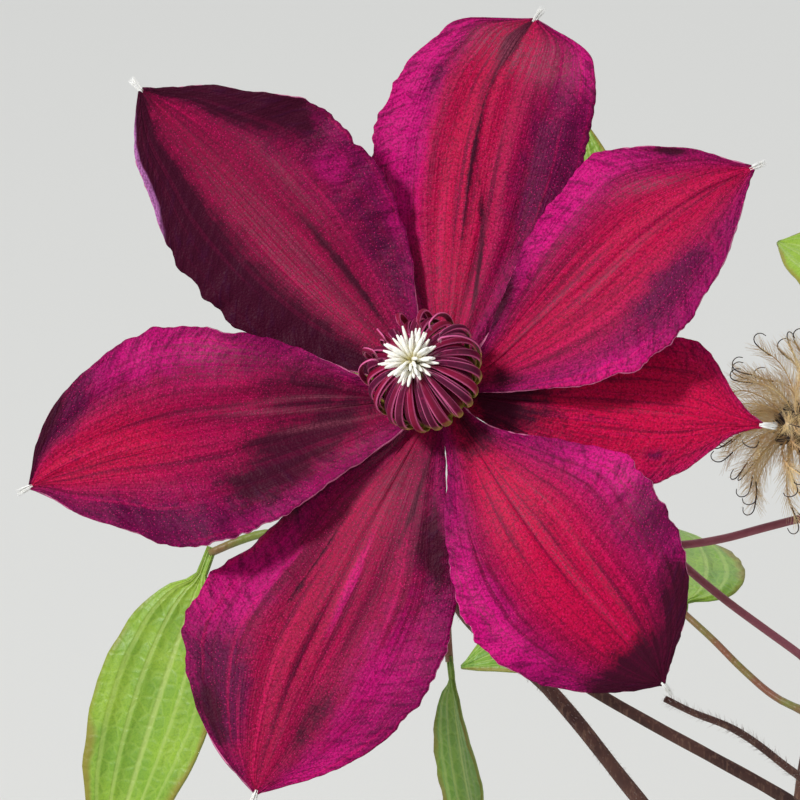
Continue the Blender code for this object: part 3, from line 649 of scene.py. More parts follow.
def hull_loop(centres, reach, steps=8):
    """The taut loop round discs of one reach: an arc round each centre, taken anticlockwise."""
    middle = sum((Vector(c) for c in centres), Vector((0, 0, 0))) / len(centres)
    ordered = sorted(centres, key=lambda c: atan2((c - middle).y, (c - middle).x))
    loop = []
    count = len(ordered)
    for k, centre in enumerate(ordered):
        before = centre - ordered[k - 1]
        after = ordered[(k + 1) % count] - centre
        start = atan2(before.y, before.x) - pi / 2
        sweep = (atan2(after.y, after.x) - atan2(before.y, before.x)) % (2 * pi)
        for step in range(steps + 1):
            turn = start + sweep * step / steps
            loop.append(centre + reach * Vector((cos(turn), sin(turn), 0)))
    return loop


def evenly(points, step):
    """Points a step apart along a line of straight runs."""
    lengths = [(after - here).length for here, after in zip(points, points[1:])]
    count = max(2, round(sum(lengths) / step))
    step = sum(lengths) / count
    route, k, done = [points[0].copy()], 0, 0.0
    for n in range(1, count):
        while done + lengths[k] < n * step:
            done += lengths[k]
            k += 1
        route.append(points[k].lerp(points[k + 1], (n * step - done) / lengths[k]))
    return [*route, points[-1].copy()]


def smooth_route(points, per_span=4):
    """Points along a smooth curve through every given point, which a short span bends most."""
    spans = [(after - here).length for here, after in zip(points, points[1:])]
    ways = [(after - here).normalized() for here, after in zip(points, points[1:])]
    tangents = [ways[0]]
    for k in range(1, len(points) - 1):
        tangents.append((ways[k - 1] * spans[k] + ways[k] * spans[k - 1]) / (spans[k - 1] + spans[k]))
    tangents.append(ways[-1])
    route = []
    for k, span in enumerate(spans):
        for step in range(per_span):
            u = step / per_span
            swing = (u ** 3 - 2 * u ** 2 + u) * tangents[k] + (u ** 3 - u ** 2) * tangents[k + 1]
            route.append(points[k].lerp(points[k + 1], 3 * u ** 2 - 2 * u ** 3) + span * swing)
    return [*route, points[-1].copy()]


def build_tie(name, centres, reach, turn_degrees, turns):
    """Twine wound round the centres, which starts and ends at a knot that faces one way."""
    loop = hull_loop(centres, reach, 10)
    middle = sum(centres, Vector((0, 0, 0))) / len(centres)
    out = Vector((cos(radians(turn_degrees)), sin(radians(turn_degrees)), 0))
    first = max(range(len(loop)), key=lambda k: (loop[k] - middle).normalized().dot(out))
    loop = loop[first:] + loop[:first]
    wound = []
    for turn in range(turns):
        for k, point in enumerate(loop):
            lift = (turn + k / len(loop) - turns / 2) * 2.05 * TIE_RADIUS
            wound.append(point + Vector((0, 0, lift)))
    knot = loop[0]
    up = Vector((0, 0, 1))
    beside = up.cross(out)
    tall = (turns / 2 + 1.1) * 2.05 * TIE_RADIUS
    crossing = []
    for k in range(1, 15):
        turn = 2 * pi * k / 14 - pi / 2
        crossing.append(knot + out * (0.4 * TIE_RADIUS - 2.0 * TIE_RADIUS * cos(turn + pi / 2) + 1.2 * MM)
                        + up * tall * sin(turn) * 0.9 + beside * (k / 14 - 0.5) * 2.4 * TIE_RADIUS)
    tail = [crossing[-1] + out * 3 * MM + beside * 3.2 * MM - up * 1.0 * MM,
            crossing[-1] + out * 5 * MM + beside * 7 * MM - up * 5 * MM,
            crossing[-1] + out * 5.4 * MM + beside * 9 * MM - up * 11 * MM]
    head = [wound[0] + out * 5.8 * MM - beside * 8 * MM - up * 9.5 * MM,
            wound[0] + out * 4.8 * MM - beside * 5.6 * MM - up * 3.5 * MM,
            wound[0] + out * 2 * MM - beside * 2.6 * MM - up * 0.4 * MM]
    route = evenly(smooth_route([*head, *wound, *crossing, *tail], 3), TWINE_STEP)
    frames = carried_frames(route)
    strands = []
    for strand in range(3):
        line = []
        for k, point in enumerate(route):
            turn = 2 * pi * (k * TWINE_STEP / TWIST_LENGTH + strand / 3)
            across, over = frames[k]
            fray = 1 + 1.6 * max(0.0, 1 - min(k, len(route) - 1 - k) * TWINE_STEP / (4 * MM))
            line.append(point + (across * cos(turn) + over * sin(turn)) * STRAND_REACH * fray)

        def reach_of(share, turn, strand=strand):
            fibre = 0.07 * MM * noise.noise(Vector((share * len(route) * 0.5, 2 * turn, strand)))
            return STRAND_RADIUS + fibre

        strands.append(rod_along(f"{name}_strand_{strand}", 7, line, reach_of))
    return joined(f"twine_{name}", strands)


heads = [cane_point(turn, CANE_HEAD_HEIGHT) for turn in CANE_TURNS.values()]
twines = {"top_tie": build_tie("top_tie", heads, CANE_RADIUS + TIE_RADIUS + GAP, TOP_TIE_TURNED, 3)}
for name, (vine, height, turn) in TIES.items():
    pair = [cane_point(CANE_TURNS[VINES[vine][0]], height), vine_point(vine, height)]
    twines[name] = build_tie(name, pair, CANE_RADIUS + TIE_RADIUS + TIE_CLEARANCE, turn, 2)

jute = Finish("jute_twine", Roughness=0.92, Sheen_Weight=0.25, Sheen_Roughness=0.5)
spot = jute.place()
hairs = spot.at_scale(1, 1, 0.5).cloud(3800, 3)
dirt = spot.cloud(240, 4)
tan_brown = dirt.ramp(0.3, 0.7).mix(paint(176, 146, 102), paint(138, 106, 68))
jute.feed("Base Color", (hairs.ramp(0.42, 0.66) * 0.6).mix(tan_brown, paint(96, 70, 42)))
jute.feed("Normal", hairs.relief(0.25 * MM))
jute.dress(*twines.values())
for name, twine in twines.items():
    settle(twine, "jute", name)


# Leaves. Fresh green leaves on long stalks that grow in pairs at the vines' joints, each of three
# pointed leaflets or of one. Their blades fold a little along the midrib, and droop towards the tip.

STALK_RADIUS = 0.85 * MM
BLADE_THICKNESS = 0.5 * MM
BLADE_NECK = 0.9 * MM
BLADE_COLUMNS = 22
BLADE_ROWS = 38
STALK_STEP = 1.8 * MM
LEAVES = [
    # vine, height, heading, stalk length, rise, blade length, leaflets, droop, roll
    ("vine_front", 0.214, 318, 0.044, 16, 0.062, 3, 0.34, 0.1),
    ("vine_front", 0.214, 222, 0.046, 18, 0.064, 3, 0.32, -0.1),
    ("vine_front", 0.300, 2, 0.040, 22, 0.058, 3, 0.28, 0.0),
    ("vine_front", 0.330, 285, 0.040, 26, 0.060, 3, 0.30, 0.1),
    ("vine_front", 0.458, 20, 0.036, 30, 0.052, 3, 0.25, 0.0),
    ("vine_front", 0.495, 350, 0.030, 40, 0.048, 1, 0.22, 0.0),
    ("vine_back_right", 0.218, 78, 0.046, 16, 0.064, 3, 0.34, 0.1),
    ("vine_back_right", 0.218, 345, 0.046, 18, 0.062, 3, 0.32, 0.0),
    ("vine_back_right", 0.312, 100, 0.042, 22, 0.062, 3, 0.28, -0.1),
    ("vine_back_right", 0.360, 12, 0.042, 26, 0.060, 3, 0.26, 0.0),
    ("vine_back_right", 0.405, 318, 0.036, 34, 0.050, 1, 0.22, 0.0),
    ("vine_back_left", 0.222, 198, 0.046, 16, 0.064, 3, 0.34, 0.0),
    ("vine_back_left", 0.222, 104, 0.044, 20, 0.060, 3, 0.32, 0.0),
    ("vine_back_left", 0.305, 215, 0.042, 20, 0.060, 3, 0.28, 0.0),
    ("vine_back_left", 0.350, 142, 0.040, 26, 0.060, 3, 0.26, 0.0),
    ("vine_back_left", 0.420, 80, 0.038, 32, 0.054, 3, 0.22, 0.0),
    ("vine_back_left", 0.515, 170, 0.030, 44, 0.046, 1, 0.20, 0.0),
]


def sheet_blank(columns, rows):
    """A flat grid from -1 to 1, modelled once for each kind of leaf or tepal."""
    deselect()
    bpy.ops.mesh.primitive_grid_add(x_subdivisions=columns, y_subdivisions=rows, size=2)
    grid = bpy.context.object
    blank = grid.data
    bpy.data.objects.remove(grid)
    return blank


def thickened(piece, thickness, forward, offset=0.0):
    """Gives a sheet its thickness, and marks its corners: 0 on its face and 1 on its underside."""
    bare = [corner.co.copy() for corner in piece.data.vertices]
    deselect()
    piece.select_set(True)
    bpy.context.view_layer.objects.active = piece
    skin = piece.modifiers.new("thickness", "SOLIDIFY")
    skin.thickness = thickness
    skin.offset = offset
    bpy.ops.object.modifier_apply(modifier=skin.name)
    count = len(bare)
    corners = list(piece.data.vertices)
    lead = sum((corner.co - before).dot(forward) for corner, before in zip(corners, bare))
    trail = sum((corner.co - before).dot(forward) for corner, before in zip(corners[count:], bare))
    marks = [0.0 if (k < count) == (lead > trail) else 1.0 for k in range(2 * count)]
    piece.data.attributes.new("underside", "FLOAT", "POINT").data.foreach_set("value", marks)
    piece.data.shade_smooth()


def blade_half_width(share, widest):
    """Egg-shaped, broadest a third of the way along, with a narrow neck."""
    if share < 0.1:
        return BLADE_NECK
    u = (share - 0.1) / 0.9
    return BLADE_NECK * (1 - u) + widest * 1.9 * u ** 0.62 * (1 - u) ** 0.95


def build_blade(name, blank, start, along, normal, length, widest, droop, fold, seed):
    along = along.normalized()
    normal = (normal - along * normal.dot(along)).normalized()
    across = normal.cross(along)
    mesh = blank.copy()
    mesh.name = name
    shares = [(corner.co.y + 1) / 2 for corner in mesh.vertices]
    sides = [corner.co.x for corner in mesh.vertices]
    for corner, share, side in zip(mesh.vertices, shares, sides):
        half = max(blade_half_width(share, widest), 0.35 * MM)
        half *= 1 + 0.035 * noise.noise(Vector((share * 14, side, seed))) * abs(side)
        belly = sin(pi * min(1.0, share)) ** 0.6
        centre = start + along * length * share - normal * droop * length * share ** 2
        lift = fold * abs(side) * max(0.0, half - BLADE_NECK)
        wave = 1.5 * noise.noise(Vector((share * 5, side * 1.2, seed * 3.3))) * abs(side) ** 2
        wave += 0.5 * noise.noise(Vector((share * 15, side * 2, seed * 5.1))) * abs(side)
        quilt = 0.35 * cos(2 * pi * 2.75 * abs(side)) * belly - 0.45 * bump_at(side, 0.05)
        tip_curl = 2.2 * max(0.0, share - 0.75) ** 2 * length / MM * 0.12
        corner.co = centre + across * half * side + normal * (lift + (wave * belly + quilt - tip_curl) * MM)
    for attribute, values in (("share", shares), ("side", sides), ("blade", [1.0] * len(sides)),
                              ("tone", [seed * 0.37 % 1.0] * len(sides))):
        mesh.attributes.new(attribute, "FLOAT", "POINT").data.foreach_set("value", values)
    piece = bpy.data.objects.new(name, mesh)
    bpy.context.scene.collection.objects.link(piece)
    thickened(piece, BLADE_THICKNESS, normal)
    return piece


def build_leaf(name, route, way, normal, blade, seed, leaflets=3, droop=0.25, narrow=1.0):
    """A leaf stalk along a route, with an end blade that heads a way and, for three, a pair below it."""
    fine = evenly(smooth_route(route, 4), STALK_STEP)

    def reach(share, turn):
        swollen = 0.35 * MM * bump_at(share, 0.05)
        return STALK_RADIUS * (1 - 0.12 * share) + ribs(turn, 4, 0.06 * MM) + swollen

    petiole = rod_along(f"{name}_stalk", 9, fine, reach)
    way = way.normalized()
    across = normal.cross(way).normalized()
    inside = route[-1] - way * 1.2 * MM
    parts = [petiole, build_blade(f"{name}_end", blade_blank, inside, way, normal, blade,
                                  blade * 0.42 * narrow, droop, 0.22, seed)]
    if leaflets == 3:
        fork = route[-1].lerp(route[-2], 0.8)
        for side in (-1, 1):
            spread = (way * 0.55 + across * side * 0.85).normalized()
            parts.append(build_blade(f"{name}_side_{side + 1}", blade_blank, fork, spread, normal, blade * 0.8,
                                     blade * 0.33 * narrow, droop * 1.2, 0.2, seed + 0.4 + side * 0.3))
    return joined(name, parts)


def vine_leaf(name, seed, vine, height, heading, stalk, rising, blade, leaflets, droop, roll):
    """A leaf on a vine. It heads off one way, its stalk rises and its blades level out and droop."""
    heading, rising = radians(heading), radians(rising)
    joint, out = vine_side(vine, height, heading)
    level = Vector((cos(heading), sin(heading), 0))
    way = level * cos(rising) + Vector((0, 0, 1)) * sin(rising)
    across = level.cross(Vector((0, 0, 1)))
    elbow = joint + out * stalk * 0.2
    route = smooth_route([joint, elbow, elbow + way * stalk * 0.5, elbow + way * stalk * 0.85], 2)
    normal = across.cross(way)
    normal = normal * cos(roll) + across * sin(roll)
    return build_leaf(name, route, way * 0.9 + level * 0.5, normal, blade, seed, leaflets, droop)


blade_blank = sheet_blank(BLADE_COLUMNS, BLADE_ROWS)
leaves = {f"leaf_{k + 1:02d}": vine_leaf(f"green_leaf_{k + 1:02d}", k + 1, *leaf)
          for k, leaf in enumerate(LEAVES)}

leaf_skin = Finish("leaf_skin_green", Roughness=0.42, Specular_IOR_Level=0.45, Sheen_Weight=0.08)
spot = leaf_skin.place()
blade = leaf_skin.value("blade")
side = leaf_skin.value("side")
share = leaf_skin.value("share")
tone = leaf_skin.value("tone")
margin = side.size()
outer_vein = (margin - 0.36).size()
far_vein = (margin - 0.70).size()
midrib = 1 - margin.ramp(0.015, 0.075)
curved_veins = (1 - outer_vein.ramp(0.01, 0.05)) + (1 - far_vein.ramp(0.01, 0.05)) * 0.8
net = spot.make("TexVoronoi", {"feature": "DISTANCE_TO_EDGE"}, {"Vector": spot, "Scale": 420.0})
net_veins = 1 - net.ramp(0.02, 0.14)
cloudy = spot.cloud(90, 4)
pores = spot.cloud(2800, 2)
green = (cloudy * 0.7 + tone * 0.5).ramp(0.35, 0.85).mix(paint(148, 182, 48), paint(104, 150, 42))
green = (pores.ramp(0.45, 0.65) * 0.30).mix(green, paint(84, 128, 34))
green = (net_veins * 0.20).mix(green, paint(166, 196, 84))
green = ((midrib + curved_veins * 0.7) * 0.65).mix(green, paint(174, 196, 104))
tired = (margin + share * 0.25 + cloudy * 0.5).ramp(1.22, 1.42) * 0.6
green = tired.mix(green, paint(150, 112, 48))
away = leaf_skin.value("underside")
green = (away.ramp(0.4, 0.9) * 0.62).mix(green, paint(158, 184, 104))
stalk_green = (cloudy.ramp(0.35, 0.65)).mix(paint(118, 134, 54), paint(132, 82, 62))
stalk_green = leaf_skin.value("blush").mix(stalk_green, cloudy.ramp(0.35, 0.65).mix(paint(158, 84, 98), paint(128, 66, 74)))
leaf_skin.feed("Base Color", blade.ramp(0.2, 0.8).mix(stalk_green, green))
leaf_skin.feed("Roughness", 0.36 + pores * 0.2 + away * 0.2)
leaf_skin.feed("Normal", (net.ramp(0.0, 0.25) * 0.22 + pores * 0.12 - (midrib + curved_veins) * 0.30).relief(0.3 * MM))
leaf_skin.dress(*leaves.values())
for name, leaf in leaves.items():
    settle(leaf, "leaf_skin", name)


# Buds. Two pointed buds, of four or more tepals that still meet edge to edge, ribbed and downy.

BUD_STALK_RADIUS = 1.0 * MM
BUDS = {"bud_right": ("vine_back_right", 0.490, 62, 0.034, 0.026),
        "bud_left": ("vine_back_left", 0.462, 20, 0.030, 0.022)}
BUD_ROWS = 34


def build_bud(name, vine, height, turn, reach, length):
    joint, out = vine_side(vine, height, radians(turn))
    rise_up = Vector((0, 0, 1))
    neck = joint + out * reach * 0.75 + rise_up * reach * 0.6
    end = joint + out * reach + rise_up * reach * 0.95
    axis = (end - neck).normalized()
    fat = length * 0.25
    outline = [(-1.5 * MM, 1.0 * MM), (0.0, 1.9 * MM), (0.14 * length, 0.75 * fat), (0.36 * length, fat),
               (0.66 * length, 0.72 * fat), (0.9 * length, 0.25 * fat), (length, 0.2 * MM)]
    fine = smooth_route([Vector((at, wide, 0)) for at, wide in outline], BUD_ROWS // 6)
    line = [end + axis * point.x for point in fine]

    def swell(share, turn_round):
        wide = fine[round(share * (len(fine) - 1))].y
        seams = 0.09 * abs(sin(2 * (turn_round + 0.5 * share))) ** 0.6 + 0.025 * abs(sin(6 * turn_round))
        return wide * (0.91 + seams)

    head = rod_along(f"{name}_head", 32, line, swell)
    knee = joint + out * reach * 0.35 + rise_up * reach * 0.1
    route = evenly(smooth_route([joint, knee, neck, end + axis * MM], 6), STALK_STEP)
    stem = rod_along(f"{name}_stem", 10, route, lambda share, turn: BUD_STALK_RADIUS + ribs(turn, 4, 0.08 * MM))
    seams = [0.0] * len(head.data.vertices)
    for k, corner in enumerate(head.data.vertices):
        seams[k] = corner.co.z
    head.data.attributes.new("blade", "FLOAT", "POINT").data.foreach_set("value", [1.0] * len(seams))
    return joined(name, [head, stem])


buds = {name: build_bud(f"green_{name}", *plan) for name, plan in BUDS.items()}
bud_skin = Finish("bud_skin", Roughness=0.6, Sheen_Weight=0.35, Sheen_Roughness=0.4)
spot = bud_skin.place()
down = spot.cloud(2200, 3)
flush = (bud_skin.value("share") + spot.cloud(160, 3) * 0.4).ramp(0.55, 1.15) * bud_skin.value("blade")
bud_green = down.ramp(0.4, 0.7).mix(paint(136, 152, 84), paint(184, 188, 138))
bud_skin.feed("Base Color", flush.mix(bud_green, paint(128, 40, 74)))
bud_skin.feed("Normal", down.relief(0.15 * MM))
bud_skin.dress(*buds.values())
for name, bud in buds.items():
    settle(bud, "leaf_skin", name)


# Front bloom. One large open flower of seven velvet tepals, which faces the viewer and up a little.
# Its outlines are laid out on a face plane, in millimetres across, up and forward from its heart.

FACE_LEAN = radians(28)
FACE_DISTANCE = 0.8
BLOOM_HEART = Vector((-0.116, -0.115, 0.500))
BLOOM_TILT = radians(28)
BLOOM_TILT_TOWARDS = radians(131)
HEART_RADIUS = 4.0
TEPAL_BASE_HALF_WIDTH = 1.6
TEPAL_TIP_HALF_WIDTH = 0.35
TEPAL_THICKNESS = 0.5 * MM
TEPAL_STATIONS = (0.15, 0.3, 0.45, 0.6, 0.7, 0.8, 0.9, 0.96)


class Face:
    """Places on a bloom's face plane, in millimetres across, up and forward."""

    def __init__(self, heart, forward, tilt, tilt_towards, distance):
        self.heart = heart
        self.forward = forward.normalized()
        self.across = Vector((0, 0, 1)).cross(self.forward).normalized()
        self.up = self.forward.cross(self.across)
        self.tilt, self.towards, self.distance = tilt, tilt_towards, distance

    def place(self, across, up, forward):
        nearer = 1 - forward * MM / self.distance
        return self.heart + MM * ((self.across * across + self.up * up) * nearer + self.forward * forward)

    def axis(self):
        lean = self.across * cos(self.towards) + self.up * sin(self.towards)
        return (self.forward * cos(self.tilt) + lean * sin(self.tilt)).normalized()

    def disc_slope(self, turn):
        return -tan(self.tilt) * cos(turn - self.towards)


front_face = Face(BLOOM_HEART, Vector((0, -cos(FACE_LEAN), sin(FACE_LEAN))), BLOOM_TILT,
                  BLOOM_TILT_TOWARDS, FACE_DISTANCE)
back_face = Face(Vector((0.082, 0.104, 0.452)), Vector((0.52, 0.66, 0.54)), 0.0, 0.0, 10.0)

FRONT_TEPALS = {
    # Clockwise from the top. Slopes are forward per length, at mid-length and at the tip. Depth is an
    # amount of painted shade over the whole tepal, for how far it turns from the light. A patch is
    # a colour, where it lies by share of the length and by side, how far it reaches each way, its
    # strength, and how far its middle shifts to a side as it goes along, if it does. Dark patches are
    # mostly painted shade and painted shadow, bright ones are partly painted light, and the sheen
    # patches are a painted sheen.
    "tepal_top": dict(
        length=67.4, turn=75.7, slopes=(-0.06, -0.10), lifts=(-2.6, -2.4), layer=-0.9,
        left=(6.6, 14.0, 19.8, 22.2, 21.7, 20.1, 15.8, 11.9),
        right=(4.9, 8.8, 12.3, 14.0, 14.2, 14.0, 12.4, 9.6),
        midrib=(0.5, 1.4, 2.3, 3.5, 3.9, 3.9, 2.5, 1.2),
        bar=(0.15, 0.50, 0.8), depth=0.16, pleats=(5, 0.50), seed=1,
        patches=(("bright", 0.76, 0.84, 0.26, 0.34, 1.2), ("purple", 0.80, 0.62, 0.12, 0.10, 0.8), ("bright", 0.50, 0.66, 0.22, 0.22, 0.6),
                 ("purple", 0.62, -0.74, 0.24, 0.36, 1.3), ("painted_sheen", 0.90, -0.35, 0.06, 0.50, 1.9),
                 ("painted_sheen", 0.93, 0.38, 0.06, 0.30, 1.7), ("dark", 0.95, 0.08, 0.10, 0.14, 1.3),
                 # the two narrow dark patches on this line paint shade in the furrows of the pleats
                 ("dark", 0.36, -0.24, 0.24, 0.055, 1.0, 0.95), ("dark", 0.62, 0.05, 0.34, 0.03, 0.9),
                 ("painted_sheen", 0.24, 0.0, 0.12, 0.90, 0.6), ("bright", 0.92, -0.92, 0.10, 0.24, 0.9),
                 ("painted_sheen", 0.40, 0.30, 0.30, 0.05, 0.5))),
    "tepal_upper_right": dict(
        length=67.3, turn=35.8, slopes=(0.24, 0.05), lifts=(1.8, 1.0), layer=0.9,
        left=(2.3, 8.2, 13.8, 17.2, 17.9, 14.4, 8.9, 3.9),
        right=(7.0, 13.1, 16.3, 16.1, 13.3, 10.3, 5.6, 2.3),
        midrib=(-1.2, -0.5, 0.2, 1.2, 1.6, 1.6, 1.2, 0.5),
        bar=(0.0, 0.60, 0.8), depth=0.10, pleats=(3, 0.35), seed=2,
        patches=(("bright", 0.56, 0.84, 0.28, 0.26, 1.1), ("dark", 0.27, 0.92, 0.09, 0.25, 1.0),
                 ("painted_sheen", 0.34, 0.10, 0.18, 0.045, 1.2, 0.25), ("painted_sheen", 0.52, -0.07, 0.20, 0.035, 1.1, 0.3),
                 ("painted_sheen", 0.76, 0.45, 0.11, 0.10, 1.5, -0.8), ("purple", 0.64, -0.62, 0.19, 0.24, 1.2),
                 ("bright", 0.42, -0.94, 0.18, 0.2, 0.9),
                 # the dark patch near the heart on this line is partly a painted shadow of the boss
                 ("dark", 0.14, -0.5, 0.07, 0.6, 0.7), ("painted_sheen", 0.48, 0.62, 0.20, 0.07, 0.6, 0.5),
                 ("dark", 0.86, 0.90, 0.06, 0.14, 0.9))),
    "tepal_right": dict(
        length=56.6, turn=-5.7, slopes=(0.06, 0.10), lifts=(-2.0, -2.0), layer=-0.9,
        left=(4.4, 8.2, 11.5, 13.3, 13.8, 12.6, 5.2, 1.8),
        right=(4.4, 8.8, 11.5, 12.6, 11.7, 8.1, 2.8, 1.0),
        midrib=(0.0, 0.0, 0.2, 0.3, 0.3, 0.3, 0.1, 0.0),
        bar=(0.0, 1.2, 1.2), depth=0.0, pleats=(2, 0.15), seed=3,
        # the dark patch over the base is a painted shadow, where the boss and the upper right tepal shade it
        patches=(("dark", 0.20, -0.1, 0.18, 1.2, 1.1), ("painted_sheen", 0.62, 0.0, 0.24, 0.04, 0.7),
                 ("purple", 0.68, -0.6, 0.07, 0.14, 0.7), ("bright", 0.90, 0.8, 0.15, 0.3, 0.3))),
    "tepal_low_right": dict(
        length=64.1, turn=-52.6, slopes=(0.38, -0.42), lifts=(1.2, 1.6), layer=0.9,
        left=(3.3, 11.5, 19.2, 19.1, 18.0, 15.4, 9.5, 3.9),
        right=(6.0, 13.6, 19.2, 21.2, 20.1, 17.0, 10.9, 5.4),
        midrib=(-0.7, -1.4, -1.8, -1.8, -1.4, -0.8, -0.2, 0.0),
        bar=(-0.05, 0.50, 1.0), depth=0.04, pleats=(3, 0.28), seed=4,
        # the first dark patch is painted shade over the outer third, which turns from the light
        patches=(("dark", 0.95, -0.05, 0.10, 1.7, 1.6), ("dark", 0.82, 0.85, 0.10, 0.32, 1.1),
                 ("bright", 0.44, 0.86, 0.14, 0.3, 1.0), ("purple", 0.63, 0.88, 0.13, 0.3, 0.9),
                 ("painted_sheen", 0.56, 0.80, 0.16, 0.22, 0.5, -0.6), ("painted_sheen", 0.52, 0.23, 0.28, 0.035, 1.0, -0.1),
                 ("painted_sheen", 0.52, 0.03, 0.28, 0.04, 1.1), ("bright", 0.55, -0.85, 0.26, 0.32, 1.1),
                 ("painted_sheen", 0.50, -0.85, 0.22, 0.09, 0.7, 0.5), ("painted_sheen", 0.34, -0.1, 0.12, 0.5, 0.6),
                 # this dark patch near the heart is a painted shadow of the boss
                 ("dark", 0.13, 0.2, 0.11, 1.0, 0.9))),
    "tepal_low_left": dict(
        length=77.1, turn=-114.8, slopes=(0.15, 0.12), lifts=(-2.2, -2.2), layer=-0.9,
        left=(6.3, 12.6, 18.9, 19.8, 18.7, 15.2, 9.3, 3.9),
        right=(4.6, 12.6, 17.2, 22.8, 23.8, 20.5, 14.0, 7.7),
        midrib=(-0.5, -1.2, -1.7, -2.0, -2.1, -1.7, -1.0, -0.4),
        bar=(-0.12, 0.36, 0.60), depth=0.26, pleats=(4, 0.42), seed=5,
        patches=(("painted_sheen", 0.25, 0.05, 0.14, 0.62, 1.0), ("dark", 0.20, 0.10, 0.12, 0.9, 0.5), ("dark", 0.33, 0.78, 0.10, 0.32, 1.0),
                 ("bright", 0.64, 0.62, 0.26, 0.34, 0.75), ("bright", 0.48, 0.08, 0.14, 0.05, 0.9, 0.1), ("dark", 0.80, 0.30, 0.13, 0.18, 0.7),
                 ("dark", 0.70, -0.04, 0.28, 0.025, 1.0), ("purple", 0.82, -0.66, 0.15, 0.34, 1.4),
                 ("dark", 0.88, -0.80, 0.09, 0.22, 1.1), ("bright", 0.58, -0.78, 0.17, 0.30, 1.6),
                 # the first dark patch on this line is a painted shadow strip along the margin beside the left tepal
                 ("dark", 0.30, -0.95, 0.16, 0.14, 1.0), ("bright", 0.90, 0.85, 0.10, 0.3, 0.9),
                 ("dark", 0.24, 0.46, 0.14, 0.035, 0.8, -0.9), ("painted_sheen", 0.45, 0.0, 0.14, 0.3, 0.5),
                 ("dark", 0.48, -0.34, 0.22, 0.03, 0.8, 0.1))),
    "tepal_left": dict(
        length=73.6, turn=-167.1, slopes=(0.20, -0.14), lifts=(1.6, 2.4), layer=0.9,
        left=(6.5, 10.9, 15.2, 16.6, 15.6, 11.2, 6.7, 2.5),
        right=(4.9, 13.0, 18.6, 22.1, 21.2, 18.0, 13.1, 7.4),
        midrib=(-0.7, -1.6, -2.4, -3.3, -3.5, -3.0, -1.8, -0.9),
        bar=(0.05, 0.30, 0.15), depth=0.18, pleats=(5, 0.40), seed=6,
        # the dark patches on this line and the next paint shade near the heart, between the veins
        patches=(("ruby", 0.86, -0.02, 0.26, 0.55, 1.3), ("dark", 0.26, -0.10, 0.20, 0.80, 0.95),
                 ("dark", 0.36, 0.28, 0.13, 0.10, 1.0, -0.5), ("painted_sheen", 0.26, 0.22, 0.15, 0.05, 1.5, -0.5),
                 ("painted_sheen", 0.31, -0.05, 0.20, 0.04, 1.5, -0.35), ("painted_sheen", 0.36, -0.22, 0.20, 0.035, 1.5, 0.15),
                 ("dark", 0.44, 0.58, 0.16, 0.28, 1.05), ("purple", 0.72, 0.82, 0.26, 0.28, 1.1),
                 ("painted_sheen", 0.24, 0.75, 0.12, 0.3, 0.8), ("painted_sheen", 0.50, -0.70, 0.17, 0.26, 1.0),
                 ("bright", 0.62, -0.80, 0.22, 0.3, 1.0), ("purple", 0.90, -0.85, 0.10, 0.40, 1.8),
                 ("dark", 0.94, -0.92, 0.08, 0.3, 1.2))),
    "tepal_upper_left": dict(
        length=74.5, turn=134.6, slopes=(0.02, 0.10), lifts=(-1.6, 1.6), layer=0.0,
        left=(6.8, 13.8, 17.2, 17.2, 15.8, 12.3, 8.8, 4.2),
        right=(6.3, 14.5, 19.4, 20.7, 19.8, 14.5, 8.8, 3.5),
        midrib=(1.0, 1.4, 1.4, 1.1, 0.9, 0.6, 0.2, 0.0),
        bar=(0.02, 0.26, 0.35), depth=0.40, pleats=(2, 0.50), seed=7,
        # the first dark patch paints shade over the half that turns from the light; the dark patch at share 0.82 paints
        # shade on the far margin
        patches=(("dark", 0.55, 0.72, 0.75, 0.44, 1.7), ("painted_sheen", 0.46, 0.06, 0.36, 0.25, 1.3, -0.12),
                 ("dark", 0.36, -0.26, 0.22, 0.05, 1.1), ("painted_sheen", 0.62, -0.40, 0.20, 0.12, 0.8),
                 ("bright", 0.56, -0.72, 0.06, 0.16, 1.1), ("bright", 0.37, -0.92, 0.08, 0.14, 0.9),
                 ("purple", 0.36, -0.70, 0.18, 0.26, 0.9), ("dark", 0.82, -0.78, 0.22, 0.32, 1.6),
                 ("dark", 0.99, 0.0, 0.05, 1.0, 0.7), ("lilac", 0.84, 1.0, 0.14, 0.12, 1.6))),
}
# Patch colours: ruby, bright magenta that is partly painted light, purple, dark that is mostly painted shade and
# shadow, a painted sheen, and lilac.
HUES = ("ruby", "bright", "purple", "dark", "painted_sheen", "lilac")
TEPAL_COLUMNS = 70
TEPAL_ROWS = 136


def side_profile(values, at_base, at_tip):
    """A margin's distance from the line of a tepal's length, as a smooth function of its share."""
    stations = [0.0, *TEPAL_STATIONS, 1.0]
    heights = [at_base, *values, at_tip]

    def width(share):
        share = min(1.0, max(0.0, share))
        k = max(i for i in range(len(stations) - 1) if stations[i] <= share)
        span = stations[k + 1] - stations[k]

        def slope(i):
            if i in (0, len(stations) - 1):
                return 0.0 if i == 0 else (heights[i] - heights[i - 1]) / (stations[i] - stations[i - 1])
            return (heights[i + 1] - heights[i - 1]) / (stations[i + 1] - stations[i - 1])

        u = (share - stations[k]) / span
        return ((2 * u ** 3 - 3 * u ** 2 + 1) * heights[k] + (u ** 3 - 2 * u ** 2 + u) * span * slope(k)
                + (3 * u ** 2 - 2 * u ** 3) * heights[k + 1] + (u ** 3 - u ** 2) * span * slope(k + 1))

    return width


def rise(share, at_heart, middle, at_tip, bend_at=0.35):
    """How far a midrib has come forward, as a share of its length, from its slopes along the way."""
    if share < bend_at:
        return at_heart * share + (middle - at_heart) * share ** 2 / (2 * bend_at)
    rest = share - bend_at
    return ((at_heart + middle) * bend_at / 2 + middle * rest
            + (at_tip - middle) * rest ** 2 / (2 * (1 - bend_at)))


